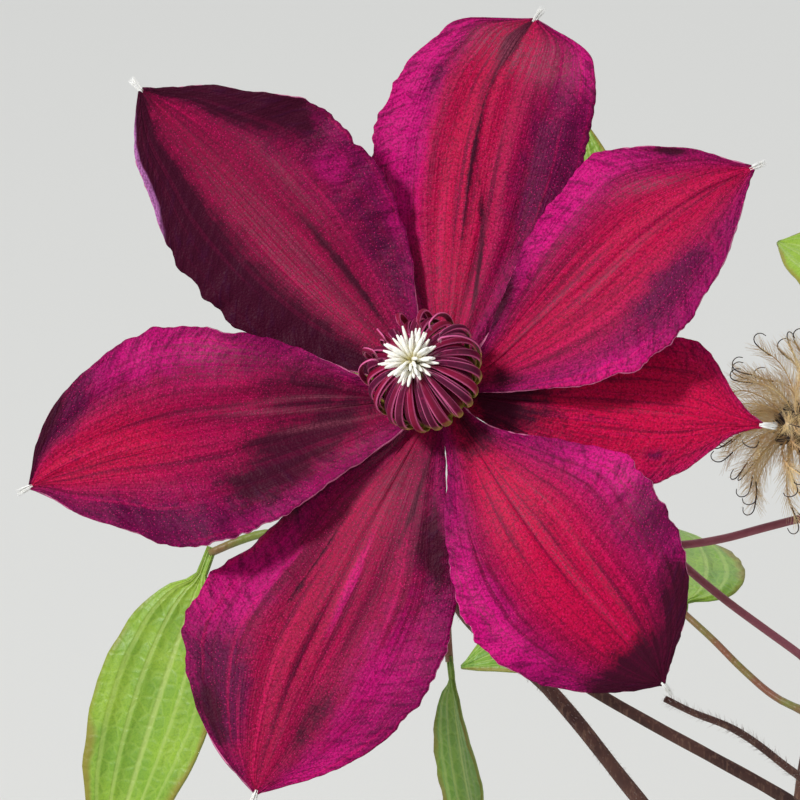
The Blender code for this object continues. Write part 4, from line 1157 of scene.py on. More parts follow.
def tepal_relief(tepal, share, side):
    """Pleats along a tepal, waves and fine crinkles along its margins, in millimetres forward."""
    seed = tepal["seed"]
    count, depth = tepal["pleats"]
    belly = sin(pi * min(1.0, share)) ** 0.6
    wander = 0.25 * noise.noise(Vector((share * 2.5, side * 1.5, seed)))
    pleat = depth * cos(pi * count * (side + wander)) * belly * (1 - 0.55 * abs(side))
    rib = -0.55 * bump_at(side, 0.05) * belly
    wave = 2.3 * noise.noise(Vector((share * 7.5, side, seed * 3.1))) * abs(side) ** 2.5
    crinkle = 0.75 * noise.noise(Vector((share * 24, side * 1.5, seed * 5.7))) * abs(side) ** 2.5
    wrinkle = 0.16 * noise.noise(Vector((share * 75 + side * side * 9, side * 3, seed)))
    grain = 0.10 * noise.noise(Vector((share * 9, side * 26, seed)))
    return pleat + rib + (wave + crinkle) * belly + wrinkle * (0.25 + abs(side)) + grain


def tepal_point(face, tepal, share, side):
    """A point on a tepal's face: share runs from the heart to the tip, side from -1 to 1."""
    length, turn = tepal["length"], radians(tepal["turn"])
    middle = tepal["midrib_line"](share)
    margin = tepal["left_line"](share) if side > 0 else -tepal["right_line"](share)
    belly = sin(pi * min(1.0, share)) ** 0.8
    ragged = noise.noise(Vector((share * 21, side, tepal["seed"] * 7.3)))
    ragged += 0.5 * noise.noise(Vector((share * 58, side, tepal["seed"] * 2.9)))
    off = middle + abs(side) * (margin - middle) * (1 + 0.045 * ragged * belly * side ** 4)
    along = share * length
    across = along * cos(turn) - off * sin(turn)
    up = along * sin(turn) + off * cos(turn)
    slopes = (face.disc_slope(turn) + 0.04, *tepal["slopes"])
    lift = tepal["lifts"][0] if side > 0 else tepal["lifts"][1]
    sideways = face.disc_slope(turn + pi / 2) * off * (1 - 0.75 * share)
    forward = length * rise(share, *slopes) + tepal["layer"] + lift * abs(side) ** 1.6 * belly + sideways
    return face.place(across, up, forward + tepal_relief(tepal, share, side))


def patch_strength(tepal, hue, share, side):
    total = 0.0
    for kind, at_share, at_side, share_reach, side_reach, strength, *slant in tepal["patches"]:
        if kind == hue:
            middle = at_side + sum(slant) * (share - at_share)
            away = ((share - at_share) / share_reach) ** 2 + ((side - middle) / side_reach) ** 2
            total += strength * exp(-1.3 * away)
    return min(1.3, total)


def build_tepal(name, face, tepal, blank):
    tepal = dict(tepal)
    tepal["left_line"] = side_profile(tepal["left"], TEPAL_BASE_HALF_WIDTH, TEPAL_TIP_HALF_WIDTH)
    tepal["right_line"] = side_profile(tepal["right"], TEPAL_BASE_HALF_WIDTH, TEPAL_TIP_HALF_WIDTH)
    tepal["midrib_line"] = side_profile(tepal["midrib"], 0.0, 0.0)
    first = HEART_RADIUS / sqrt(1 + face.disc_slope(radians(tepal["turn"])) ** 2) / tepal["length"]
    mesh = blank.copy()
    mesh.name = name
    places = [(first + (1 - first) * (corner.co.y + 1) / 2, -corner.co.x) for corner in mesh.vertices]
    for corner, (share, side) in zip(mesh.vertices, places):
        corner.co = tepal_point(face, tepal, share, side)
    numbers = {"share": [share for share, side in places], "side": [side for share, side in places],
               "seed": [tepal["seed"]] * len(places)}
    # depth: one amount of painted shade for the whole tepal
    numbers["depth"] = [tepal["depth"]] * len(places)
    for hue in HUES:
        numbers[hue] = [patch_strength(tepal, hue, share, side) for share, side in places]
    centre, half, strength = tepal["bar"]
    numbers["ruby"] = [spot + strength * exp(-(((side - centre) / half) ** 2) ** 1.4)
                       for spot, (share, side) in zip(numbers["ruby"], places)]
    for attribute, values in numbers.items():
        mesh.attributes.new(attribute, "FLOAT", "POINT").data.foreach_set("value", values)
    piece = bpy.data.objects.new(name, mesh)
    bpy.context.scene.collection.objects.link(piece)
    thickened(piece, TEPAL_THICKNESS, face.forward)
    tip = tepal_point(face, tepal, 1.0, 0.0)
    return piece, tip, (tip - tepal_point(face, tepal, 0.93, 0.0)).normalized()


front_blank = sheet_blank(TEPAL_COLUMNS, TEPAL_ROWS)
front_tepals = {name: build_tepal(f"velvet_{name}", front_face, tepal, front_blank)
                for name, tepal in FRONT_TEPALS.items()}

velvet = Finish("tepal_velvet", Roughness=0.5, Sheen_Weight=0.06, Sheen_Roughness=0.35,
                Sheen_Tint=paint(255, 130, 190), Specular_IOR_Level=0.12)
spot = velvet.place()
side = velvet.value("side")
share = velvet.value("share")
seed = velvet.value("seed")
margin = side.size()
veins = (side * 13).with_parts(share * 1.5, seed * 3).cloud(1.0, 4)
fine_veins = (side * 52).with_parts(share * 3.0, seed * 5).cloud(1.0, 3)
cross = (share * 62 + margin * margin * 7).with_parts(side * 5, seed).cloud(1.0, 3)
cells_and_glints = spot.cells(2300)
grain = spot.cloud(2400, 2)
mottle = spot.cloud(330, 4)
ragged = (veins - 0.5) * 0.9 + (mottle - 0.5) * 0.9 + (grain - 0.5) * 0.25
skin = (margin + ragged * 0.7).ramp(0.25, 1.0).mix(paint(168, 0, 72), paint(158, 2, 96))
skin = (velvet.value("ruby") + ragged * 0.7).ramp(0.10, 1.25).mix(skin, paint(204, 0, 66))
# bright patches: the margins' lighter magenta, made lighter still with painted light where they face the lamp
skin = (velvet.value("bright") + ragged * 0.8).ramp(0.20, 0.90).mix(skin, paint(214, 6, 126))
skin = (velvet.value("purple") + ragged * 1.3).ramp(0.15, 0.95).mix(skin, paint(108, 0, 68))
# dark patches: painted shade where a tepal turns from the light and painted shadows of the boss near the heart, with
# some of the velvet's own maroon
skin = (velvet.value("dark") + ragged * 1.3).ramp(0.12, 0.92).mix(skin, paint(66, 0, 32))
# painted shade: the whole tepal darkened by its depth, most on the tepals that turn from the light
skin = velvet.value("depth").mix(skin, paint(52, 0, 28))
# painted shade in the furrows between the veins, away from the margins
painted_groove_shade = (1 - veins.ramp(0.34, 0.50)) * (1 - margin.ramp(0.60, 1.0)) * 0.62
skin = painted_groove_shade.mix(skin, paint(92, 0, 44))
skin = (veins.ramp(0.54, 0.70) * (1 - velvet.value("dark").ramp(0.2, 0.8)) * 0.36).mix(skin, paint(226, 6, 96))
skin = (fine_veins.ramp(0.50, 0.68) * 0.30).mix(skin, paint(66, 0, 38))
# painted sheen: the velvet's grey-rose sheen where light grazes it, painted into the colour in fine streaks and grain
# where the sheen patches lie
painted_sheen_streaks = velvet.value("painted_sheen") * (0.20 + fine_veins.ramp(0.38, 0.62) * 0.80)
skin = (painted_sheen_streaks * (0.20 + grain.ramp(0.44, 0.60) * 0.60)).mix(skin, paint(172, 80, 104))
# painted shade in the fine crosswise wrinkles near the margins
painted_crease_shade = cross.ramp(0.50, 0.66) * margin.ramp(0.30, 0.85) * 0.50
skin = painted_crease_shade.mix(skin, paint(56, 0, 44))
skin = (velvet.value("lilac") + ragged * 0.4).ramp(0.4, 0.9).mix(skin, paint(186, 112, 176))
# painted glints: bright pink sparkle at the middle of each velvet cell, left out in the dark patches
skin = ((1 - cells_and_glints.ramp(0.08, 0.30)) * (1 - velvet.value("dark").ramp(0.3, 0.9)) * 0.50).mix(skin, paint(255, 24, 130))
skin = (grain.ramp(0.46, 0.62) * 0.46).mix(skin, paint(60, 0, 32))

away = velvet.value("underside")
back_ribs = (1 - (margin * 7.0).maths("PINGPONG", margin * 7.0, 1.0).ramp(0.0, 0.5)) * (1 - margin.ramp(0.3, 0.5))
silk = (side * 60).with_parts(share * 5, seed).cloud(1.0, 3)
back_skin = margin.ramp(0.10, 0.42).mix(paint(186, 128, 134), paint(170, 62, 122))
back_skin = (silk.ramp(0.48, 0.66) * 0.5).mix(back_skin, paint(216, 170, 190))
back_skin = (back_ribs * 0.6).mix(back_skin, paint(150, 150, 96))
skin = away.ramp(0.82, 0.95).mix(skin, back_skin)
rim_mask = away.ramp(0.04, 0.20) * (1 - away.ramp(0.78, 0.95))
skin = (rim_mask * 0.9).mix(skin, paint(214, 120, 160))
velvet.feed("Base Color", skin)
velvet.feed("Roughness", 0.44 + grain * 0.22)
velvet.feed("Normal", (cells_and_glints * 0.12 + fine_veins * 0.22 + veins * 0.20 + cross * margin * 0.60).relief(0.7 * MM))
velvet.dress(*[piece for piece, tip, way in front_tepals.values()])
for name, (piece, tip, way) in front_tepals.items():
    settle(piece, "tepal_skin", name)


# Tufts. Each tepal ends in a point that carries a tuft of silky white hairs, a few millimetres long,
# which lie together like the tip of a wet brush.

TUFT_HAIRS = 64
TUFT_LENGTH = 3.3
TUFT_SPREAD = 0.20
HAIR_RADIUS = 0.075


def build_tuft(name, tip, way, hairs, length, seed):
    """A brush of fine hairs that starts a little inside a tepal's tip."""
    hair_draw = Random(seed)
    side = way.orthogonal().normalized()
    other = way.cross(side)
    plans = []
    for k in range(hairs):
        turn, lean = hair_draw.uniform(0, 2 * pi), hair_draw.random() ** 0.7
        out = side * cos(turn) + other * sin(turn)
        plans.append((out, lean, length * hair_draw.uniform(0.55, 1.0), hair_draw.uniform(-0.5, 0.5)))

    def hair_corner(k, corner):
        out, lean, reach, sway = plans[k]
        share = corner.z
        thin = HAIR_RADIUS * (1 - 0.75 * share)
        root = tip - way * 0.5 * MM + out * lean * 0.32 * MM
        along = way * share * reach + out * lean * TUFT_SPREAD * reach * share * (1 - 0.45 * share)
        bend = side * sway * 0.35 * share ** 2
        return root + (along + bend + side * corner.x * thin + other * corner.y * thin) * MM

    return copies(name, rod_blank(4, 5), hairs, hair_corner)


tufts = []
for name, (piece, tip, way) in front_tepals.items():
    tuft = build_tuft(f"tuft_of_{name}", tip, way, TUFT_HAIRS, TUFT_LENGTH, FRONT_TEPALS[name]["seed"])
    tufts.append(tuft)
    settle(tuft, "plume")
silk_hair = Finish("silk_hair", Base_Color=paint(246, 244, 238), Roughness=0.4, Sheen_Weight=0.4)
spot = silk_hair.place()
silk_hair.feed("Base Color", spot.cloud(1800, 2).ramp(0.3, 0.7).mix(paint(255, 255, 253), paint(244, 243, 236)))
silk_hair.dress(*tufts)


# Stamens. Rings of flat wine-red straps that stand on the heart, bulge out and curve in over its
# top, where they leave a well. Pollen sacs make their edges pink, and their feet are yellow-green.

STAMEN_RINGS = (
    # straps, first turn, scale of the bulge, height, reach of the tips over the well
    (23, 0.00, 1.00, 1.00, 0.00),
    (21, 0.17, 0.93, 0.98, -0.35),
    (17, 0.31, 0.85, 0.94, -0.60),
)
STRAP_LINE = ((3.2, 0.4), (6.6, 1.9), (9.3, 4.6), (10.15, 7.6), (9.5, 10.6), (7.3, 13.0), (4.9, 14.1), (3.2, 13.9))
CURLED_LINE = ((3.0, 0.4), (6.6, 1.8), (9.8, 5.0), (10.9, 9.2), (10.2, 13.0), (8.2, 15.8), (6.2, 16.6), (5.4, 15.2))
CURLED_TURNS = (38, 62, 84, 105, 128, 152, 176, 200)
STRAP_HALF_WIDTH = 0.64
STRAP_HALF_THICKNESS = 0.22
STRAP_ROWS = 26
STRAP_SIDES = 10


def frame_along(axis):
    """Two directions across an axis, the first level where it can be."""
    side = Vector((0, 0, 1)).cross(axis).normalized()
    return side, axis.cross(side)


def strap(name, face, line, turn, half_width, twist, lean, scale, tall, over):
    """One flat filament: its line is given by (radius, height) from the heart, along the bloom's axis."""
    axis = face.axis()
    side, up = frame_along(axis)
    root = face.heart + axis * 1.2 * MM
    points = []
    for k, (radius, height) in enumerate(line):
        share = k / (len(line) - 1)
        at = turn + lean * share ** 2
        out = side * cos(at) + up * sin(at)
        radius = radius * scale + over * share ** 3
        points.append(root + (out * radius + axis * height * tall) * MM)
    route = evenly(smooth_route(points, 6), sum((b - a).length for a, b in zip(points, points[1:])) / STRAP_ROWS)
    round_way = (axis.cross(side * cos(turn) + up * sin(turn))).normalized()
    rows = len(route) - 1
    mesh = rod_blank(STRAP_SIDES, rows).copy()
    frames = carried_frames(route, round_way)
    edges, shares = [], []
    for corner in mesh.vertices:
        row = round(corner.co.z * rows)
        share = row / rows
        at = atan2(corner.co.y, corner.co.x)
        across, over_way = frames[row]
        roll = twist * share
        wide = half_width * (0.62 + 0.55 * sin(pi * min(1.0, share * 1.05)) ** 0.7)
        wide *= min(1.0, (1 - share) * 7 + 0.35)
        x, y = cos(at) * wide, sin(at) * STRAP_HALF_THICKNESS + 0.16 * abs(cos(at)) ** 3
        edges.append(abs(cos(at)) ** 4)
        shares.append(share)
        corner.co = route[row] + ((across * cos(roll) + over_way * sin(roll)) * x
                                  + (over_way * cos(roll) - across * sin(roll)) * y) * MM
    mesh.attributes.new("share", "FLOAT", "POINT").data.foreach_set("value", shares)
    mesh.attributes.new("edge", "FLOAT", "POINT").data.foreach_set("value", edges)
    mesh.attributes.new("tone", "FLOAT", "POINT").data.foreach_set("value", [abs(sin(turn * 7))] * len(shares))
    mesh.shade_smooth()
    piece = bpy.data.objects.new(name, mesh)
    bpy.context.scene.collection.objects.link(piece)
    return piece


def build_stamens(name, face, seed):
    strap_draw = Random(seed)
    straps = []
    for count, first, scale, tall, over in STAMEN_RINGS:
        for k in range(count):
            turn = 2 * pi * (k + first) / count + strap_draw.uniform(-0.05, 0.05)
            straps.append(strap(f"{name}_strap", face, STRAP_LINE, turn,
                                STRAP_HALF_WIDTH * strap_draw.uniform(0.9, 1.1), strap_draw.uniform(-0.5, 0.5),
                                strap_draw.uniform(-0.12, 0.12), scale * strap_draw.uniform(0.975, 1.0),
                                tall * strap_draw.uniform(0.97, 1.02), over + strap_draw.uniform(-0.4, 0.4)))
    for turn in CURLED_TURNS:
        straps.append(strap(f"{name}_curl", face, CURLED_LINE, radians(turn), 0.5, strap_draw.uniform(-1.5, 1.5),
                            strap_draw.uniform(-0.3, 0.3), strap_draw.uniform(0.94, 1.0),
                            strap_draw.uniform(0.95, 1.03), strap_draw.uniform(-0.3, 1.2)))
    axis = face.axis()
    core_line = [face.heart + axis * height * MM for height in (1.2, 2.6, 4.4, 6.4, 8.4, 9.6, 10.2)]
    core_reach = (4.0, 6.4, 7.6, 7.8, 6.4, 4.0, 0.5)
    core = rod_along(f"{name}_core", 20, core_line, lambda share, turn: core_reach[round(share * 6)] * MM)
    for attribute, value in (("edge", 0.0), ("tone", 0.2)):
        values = [value] * len(core.data.vertices)
        core.data.attributes.new(attribute, "FLOAT", "POINT").data.foreach_set("value", values)
    return joined(name, [*straps, core])


front_stamens = build_stamens("stamens_in_front", front_face, 21)
back_stamens = build_stamens("stamens_at_back", back_face, 22)

filament = Finish("filament_skin_wine", Roughness=0.42, Sheen_Weight=0.04, Specular_IOR_Level=0.22)
spot = filament.place()
share = filament.value("share")
edge = filament.value("edge")
tone = filament.value("tone")
streak = spot.cloud(1300, 3)
wine = (tone * 0.8 + streak * 0.5).ramp(0.3, 1.1).mix(paint(136, 0, 52), paint(80, 0, 46))
wine = (streak.ramp(0.52, 0.75) * 0.4).mix(wine, paint(170, 20, 84))
sacs = edge.ramp(0.20, 0.65) * share.ramp(0.25, 0.40)
wine = (sacs * 0.9).mix(wine, paint(240, 112, 170))
foot = 1 - (share + (streak - 0.5) * 0.18).ramp(0.36, 0.54)
wine = foot.mix(wine, tone.mix(paint(150, 150, 46), paint(198, 180, 84)))
wine = (share.ramp(0.93, 1.0) * tone).mix(wine, paint(232, 176, 196))
filament.feed("Base Color", wine)
filament.feed("Normal", streak.relief(0.12 * MM))
filament.dress(front_stamens, back_stamens)
settle(front_stamens, "filament_skin", "front_stamens")
settle(back_stamens, "filament_skin", "back_stamens")


# Styles. A spray of blunt creamy styles that stands in the well of the stamens and spreads over it
# like a small brush, pale yellow-green at its middle.

STYLE_COUNT = 56
STYLE_ROWS = 10
STYLE_RADIUS = 0.27


def build_styles(name, face, seed):
    style_draw = Random(seed)
    axis = face.axis()
    side, up = frame_along(axis)
    root = face.heart + axis * 1.2 * MM
    styles = []
    for k in range(STYLE_COUNT):
        share_out = sqrt((k + 0.5) / STYLE_COUNT)
        turn = k * pi * (3 - sqrt(5)) + style_draw.uniform(-0.2, 0.2)
        out = side * cos(turn) + up * sin(turn)
        spread = (2.2 + 3.7 * share_out) * style_draw.uniform(0.80, 1.06)
        top = 17.9 - 1.5 * share_out ** 2 + style_draw.uniform(-0.5, 0.5)
        line = [root + (out * radius + axis * height) * MM for radius, height in (
            (0.5 * share_out, 2.6), (0.9 * share_out, 8.0), (1.3 * share_out, 13.2 - share_out),
            (0.8 * share_out + 0.34 * spread, top - 1.5), (spread, top - 0.2))]
        route = smooth_route(line, STYLE_ROWS // 4 + 1)
        rows = len(route) - 1
        blunt = style_draw.uniform(0.9, 1.15)

        def reach(share, turn, blunt=blunt):
            tip = sqrt(max(0.0, 1 - max(0.0, share * rows - rows + 1) ** 2 * 0.75))
            return STYLE_RADIUS * MM * (0.8 + 0.35 * share) * blunt * tip

        styles.append(rod_along(f"{name}_{k}", 7, route, reach))
    return joined(name, styles)


front_styles = build_styles("styles_in_front", front_face, 31)
back_styles = build_styles("styles_at_back", back_face, 32)

cream = Finish("style_cream", Roughness=0.5, Sheen_Weight=0.3, Specular_IOR_Level=0.35)
spot = cream.place()
share = cream.value("share")
grain = spot.cloud(1500, 3)
ivory = grain.ramp(0.35, 0.7).mix(paint(255, 255, 250), paint(248, 243, 226))
ivory = (1 - (share + grain * 0.15).ramp(0.62, 0.92)).mix(ivory, paint(206, 192, 96))
cream.feed("Base Color", ivory)
cream.feed("Normal", grain.relief(0.08 * MM))
cream.dress(front_styles, back_styles)
settle(front_styles, "style_skin", "front_styles")
settle(back_styles, "style_skin", "back_styles")


# Back bloom. A smaller flower on the far side of the plant, of six tepals, three in front of three.

BACK_BLOOM_TEPALS = 6
BACK_OUTLINE = dict(
    left=(5.0, 10.5, 15.2, 17.0, 16.4, 13.6, 8.4, 4.0),
    right=(5.0, 10.5, 15.2, 17.0, 16.4, 13.6, 8.4, 4.0),
    midrib=(0.0, 0.3, 0.8, 1.0, 1.0, 0.8, 0.4, 0.1))
# As on the front bloom, the dark patch at the base is painted shade, the bright ones are partly painted light, the
# sheen patch is a painted sheen, and each back tepal's depth is painted shade over it.
BACK_PATCHES = (("bright", 0.55, 0.85, 0.40, 0.40, 1.0), ("bright", 0.50, -0.85, 0.40, 0.36, 0.9),
                ("painted_sheen", 0.40, 0.05, 0.34, 0.20, 0.8), ("dark", 0.14, 0.0, 0.18, 0.9, 0.7),
                ("purple", 0.86, 0.45, 0.18, 0.50, 0.8))
back_blank = sheet_blank(44, 84)
back_tepals = []
for k in range(BACK_BLOOM_TEPALS):
    in_front = k % 2
    plan = dict(
        BACK_OUTLINE, length=56.0 + 3.0 * sin(2.3 * k), turn=60.0 * k + 14.0 + 5.0 * sin(1.7 * k),
        slopes=(0.20 + 0.06 * sin(4.1 * k), -0.10 - 0.2 * sin(1.3 * k + 1)),
        lifts=(1.6, 1.6) if in_front else (-1.8, -1.8), layer=0.9 if in_front else -0.9,
        bar=(0.0, 0.36, 0.9), depth=0.15, pleats=(3 + k % 3, 0.35), seed=11 + k, patches=BACK_PATCHES)
    piece, tip, way = build_tepal(f"velvet_back_tepal_{k + 1}", back_face, plan, back_blank)
    tuft = build_tuft(f"tuft_of_back_tepal_{k + 1}", tip, way, 20, 2.2, 40 + k)
    velvet.dress(piece)
    silk_hair.dress(tuft)
    settle(piece, "tepal_skin", f"back_tepal_{k + 1}")
    settle(tuft, "plume")
    back_tepals.append(piece)


# Stalks and shoots. Each bloom hangs on a stalk that swells under it into a small boss. Below the
# front bloom run a leafy shoot and a young one with a hairy tip, all off the front vine.

BOSS_LINE = ((1.3, -6.0), (1.9, -4.8), (2.6, -3.6), (3.2, -2.5), (3.6, -1.6), (3.75, -0.6), (3.6, 0.4), (2.4, 1.2))
SHOOT_STEP = 1.6 * MM


def build_stem(name, route, radius_start, radius_end, rib_depth=0.14 * MM, seed=1):
    """A ribbed stem along smooth points, thinning evenly, with faint knots in it."""
    route = evenly(route, SHOOT_STEP)

    def reach(share, turn):
        knots = 0.09 * MM * noise.noise(Vector((share * 30, turn, seed)))
        return radius_start + (radius_end - radius_start) * share + ribs(turn, 6, rib_depth) + knots

    return rod_along(name, 14, route, reach)


def build_bloom_stalk(name, face, route, radius_end):
    axis = face.axis()
    start = face.heart - axis * 4.0 * MM
    stem = build_stem(f"{name}_stem", smooth_route([start, face.heart - axis * 14 * MM, *route], 8),
                      1.25 * MM, radius_end)
    line = [face.heart + axis * height * MM for radius, height in BOSS_LINE]
    last = len(BOSS_LINE) - 1
    boss = rod_along(f"{name}_boss", 20, line, lambda share, turn: BOSS_LINE[round(share * last)][0] * MM)
    return joined(name, [stem, boss])


def vine_joint(name, height, turn_degrees):
    return vine_side(name, height, radians(turn_degrees))


joint, out = vine_joint("vine_front", 0.312, 235)
front_stalk = build_bloom_stalk("stalk_of_front_bloom", front_face, [
    front_face.place(3.4, -37, -24), front_face.place(19, -51.5, -24), front_face.place(35, -71, -29),
    joint + out * 14 * MM, joint + out * 4 * MM, joint], 1.5 * MM)
joint, out = vine_joint("vine_back_right", 0.425, 60)
back_stalk = build_bloom_stalk("stalk_of_back_bloom", back_face,
                               [joint + out * 12 * MM, joint + out * 4 * MM, joint], 1.2 * MM)

joint, out = vine_joint("vine_front", 0.335, 205)
leafy_shoot = build_stem("shoot_with_leaves", smooth_route([
    joint, joint + out * 4 * MM, joint + out * 12 * MM, front_face.place(61, -71, -39),
    front_face.place(27, -52, -34), front_face.place(4, -37.5, -37), front_face.place(-19.5, -27.2, -42)], 8),
    1.6 * MM, 0.9 * MM, seed=2)
joint, out = vine_joint("vine_front", 0.360, 195)
young_line = smooth_route([
    joint, joint + out * 4 * MM, joint + out * 12 * MM, front_face.place(63, -67, -22),
    front_face.place(51, -58.5, -16), front_face.place(43.5, -55.5, -13), front_face.place(39.5, -53.5, -12)], 8)
young_shoot = build_stem("shoot_with_hairy_tip", young_line, 1.25 * MM, 0.6 * MM, seed=3)


# Hairs of the young wood: short silvery hairs that stand out from the stems near the front bloom,
# long ones on the young shoot's tip.

def hairs_on(name, line, count, length, root_reach, from_share, seed):
    """Hairs that leave a stem's line on all sides, and lean towards its tip."""
    line = evenly(line, 1.0 * MM)
    frames = carried_frames(line)
    hair_draw = Random(seed)
    plans = []
    for k in range(count):
        share = from_share + (1 - from_share) * hair_draw.random()
        row = min(len(line) - 2, int(share * (len(line) - 1)))
        way = (line[row + 1] - line[row]).normalized()
        across, over = frames[row]
        turn = hair_draw.uniform(0, 2 * pi)
        out = across * cos(turn) + over * sin(turn)
        root = line[row].lerp(line[row + 1], hair_draw.random()) + out * root_reach(share)
        lean = (out + way * hair_draw.uniform(0.1, 0.9)).normalized()
        plans.append((root, lean, length * hair_draw.uniform(0.4, 1.0), way))

    def hair_corner(k, corner):
        root, lean, reach, way = plans[k]
        side = lean.cross(way).normalized()
        other = lean.cross(side)
        thin = 0.035 * MM * (1 - 0.8 * corner.z)
        curl = way * 0.25 * reach * corner.z ** 2
        return root + lean * reach * corner.z + curl + (side * corner.x + other * corner.y) * thin

    return copies(name, rod_blank(3, 2), count, hair_corner)


young_hairs = hairs_on("hairs_of_young_shoot", young_line, 900, 1.5 * MM,
                       lambda share: (1.15 - 0.65 * share) * MM, 0.45, 51)
stalk_line = smooth_route([front_face.heart - front_face.axis() * 6 * MM, front_face.heart - front_face.axis() * 14 * MM,
                           front_face.place(3.4, -37, -24), front_face.place(19, -51.5, -24),
                           front_face.place(35, -71, -29)], 8)
stalk_hairs = hairs_on("hairs_of_front_stalk", stalk_line, 900, 0.8 * MM, lambda share: 1.2 * MM, 0.0, 52)
silver_hair = Finish("silver_hair", Roughness=0.5, Sheen_Weight=0.3)
spot = silver_hair.place()
silver_hair.feed("Base Color", spot.cloud(700, 2).ramp(0.3, 0.7).mix(paint(214, 204, 196), paint(168, 150, 140)))
silver_hair.dress(young_hairs, stalk_hairs)
bark.dress(front_stalk, back_stalk, leafy_shoot, young_shoot)
settle(front_stalk, "vine_bark", "front_stalk")
settle(back_stalk, "vine_bark", "back_stalk")
settle(leafy_shoot, "vine_bark", "leafy_shoot")
settle(young_shoot, "vine_bark", "young_shoot")
settle(young_hairs, "plume")
settle(stalk_hairs, "plume")


# Seed head. After its tepals fall, the bloom leaves a dark knot of seeds, each with a long curved
# tail that is feathered with buff silk and ends in a thin dark hook.

SEED_HEAD_RADIUS = 0.0155
SEED_TAILS = 52
TAIL_ROWS = 22
HAIRS_PER_TAIL = 130
seed_heart = front_face.place(64.5, -8.5, -14)
seed_axis = (front_face.across * -0.35 + front_face.up * 0.5 + front_face.forward * 0.8).normalized()
seed_side, seed_up = frame_along(seed_axis)
tail_draw = Random(61)
tail_lines = []
tail_hooks = []
seeds = []
for k in range(SEED_TAILS):
    height = 1 - 1.72 * (k + 0.5) / SEED_TAILS
    turn = k * pi * (3 - sqrt(5)) + tail_draw.uniform(-0.25, 0.25)
    ring = sqrt(max(0.0, 1 - height * height))
    out = (seed_side * cos(turn) + seed_up * sin(turn)) * ring + seed_axis * height
    swirl = seed_axis.cross(out).normalized() if ring > 0.1 else seed_side
    droop = tail_draw.uniform(-0.25, 0.45)
    reach = SEED_HEAD_RADIUS * tail_draw.uniform(0.88, 1.12)
    core = seed_heart + seed_axis * 0.35 * SEED_HEAD_RADIUS
    bent = (out + swirl * tail_draw.uniform(0.25, 0.7)).normalized()
    points = [core + out * 2.2 * MM, core + (out * 0.9 + bent * 0.1) * 0.42 * reach,
              core + (out * 0.45 + bent * 0.55) * 0.78 * reach, core + bent * 1.02 * reach + swirl * droop * 3 * MM]
    tail_lines.append(smooth_route(points, TAIL_ROWS // 3))
    end, way = points[-1], (points[-1] - points[-2]).normalized()
    curl = way.cross(out).normalized() if way.cross(out).length > 0.05 else swirl
    curl_out = curl.cross(way)
    hook = [end + way * 1.6 * MM * sin(a) / 1.2 + curl_out * 1.3 * MM * (1 - cos(a))
            for a in (0.0, 0.5, 1.1, 1.8, 2.6, 3.3)]
    tail_hooks.append([points[-2].lerp(end, 0.4), *hook])
    seeds.append((core + out * 2.6 * MM, out))


def build_tail(k):
    return rod_along(f"tail_{k}", 4, tail_lines[k], lambda share, turn: (0.16 - 0.07 * share) * MM)


def build_hook(k):
    return rod_along(f"hook_{k}", 5, smooth_route(tail_hooks[k], 3), lambda share, turn: (0.13 - 0.05 * share) * MM)


def build_seed(k):
    place, out = seeds[k]
    line = [place + out * step * MM for step in (-1.6, -1.1, -0.3, 0.6, 1.5, 2.4)]
    wide = (0.3, 0.85, 1.15, 1.1, 0.7, 0.22)
    return rod_along(f"seed_{k}", 8, line, lambda share, turn: wide[round(share * 5)] * MM
                     * (1 + 0.12 * noise.noise(Vector((share * 6, turn * 2, k)))))


seed_core_line = [seed_heart + seed_axis * step * SEED_HEAD_RADIUS for step in (-0.18, -0.05, 0.1, 0.3, 0.5, 0.6)]
seed_core_reach = (1.2, 2.0, 2.9, 3.4, 2.4, 0.4)
seed_core = rod_along("seed_core", 16, seed_core_line, lambda share, turn: seed_core_reach[round(share * 5)] * MM)
dark_knot = joined("seed_knot", [seed_core, *[build_seed(k) for k in range(SEED_TAILS)]])
hooks = joined("seed_hooks", [build_hook(k) for k in range(SEED_TAILS)])
tails = joined("seed_tails", [build_tail(k) for k in range(SEED_TAILS)])

plume_plans = []
for k in range(SEED_TAILS):
    line = evenly(tail_lines[k], 0.5 * MM)
    frames = carried_frames(line)
    for n in range(HAIRS_PER_TAIL):
        share = 0.10 + 0.88 * (n + tail_draw.random()) / HAIRS_PER_TAIL
        row = min(len(line) - 2, int(share * (len(line) - 1)))
        way = (line[row + 1] - line[row]).normalized()
        across, over = frames[row]
        flat = (n % 2) * pi + tail_draw.uniform(-0.55, 0.55)
        away = across * cos(flat) + over * sin(flat)
        lean = (away + way * tail_draw.uniform(0.7, 1.5)).normalized()
        length = (4.6 - 2.0 * share) * tail_draw.uniform(0.65, 1.0) * MM
        plume_plans.append((line[row], lean, length, way, tail_draw.uniform(-0.3, 0.3)))


def plume_corner(k, corner):
    root, lean, length, way, sway = plume_plans[k]
    side = lean.cross(way).normalized()
    other = lean.cross(side)
    thin = 0.042 * MM * (1 - 0.7 * corner.z)
    curve = way * 0.35 * length * corner.z ** 2 + side * sway * length * corner.z ** 2
    return root + lean * length * corner.z + curve + (side * corner.x + other * corner.y) * thin


plumes = copies("seed_plumes", rod_blank(3, 3), len(plume_plans), plume_corner,
                share=lambda k, corner: corner.z)

joint, out = vine_joint("vine_front", 0.445, 190)
start = seed_heart - seed_axis * (0.18 * SEED_HEAD_RADIUS + GAP)
seed_stalk = build_stem("stalk_of_seed_head", smooth_route([
    start, start - seed_axis * 8 * MM, front_face.place(82, -16, -46), joint + out * 12 * MM,
    joint + out * 4 * MM, joint], 8), 1.2 * MM, 1.2 * MM, seed=4)

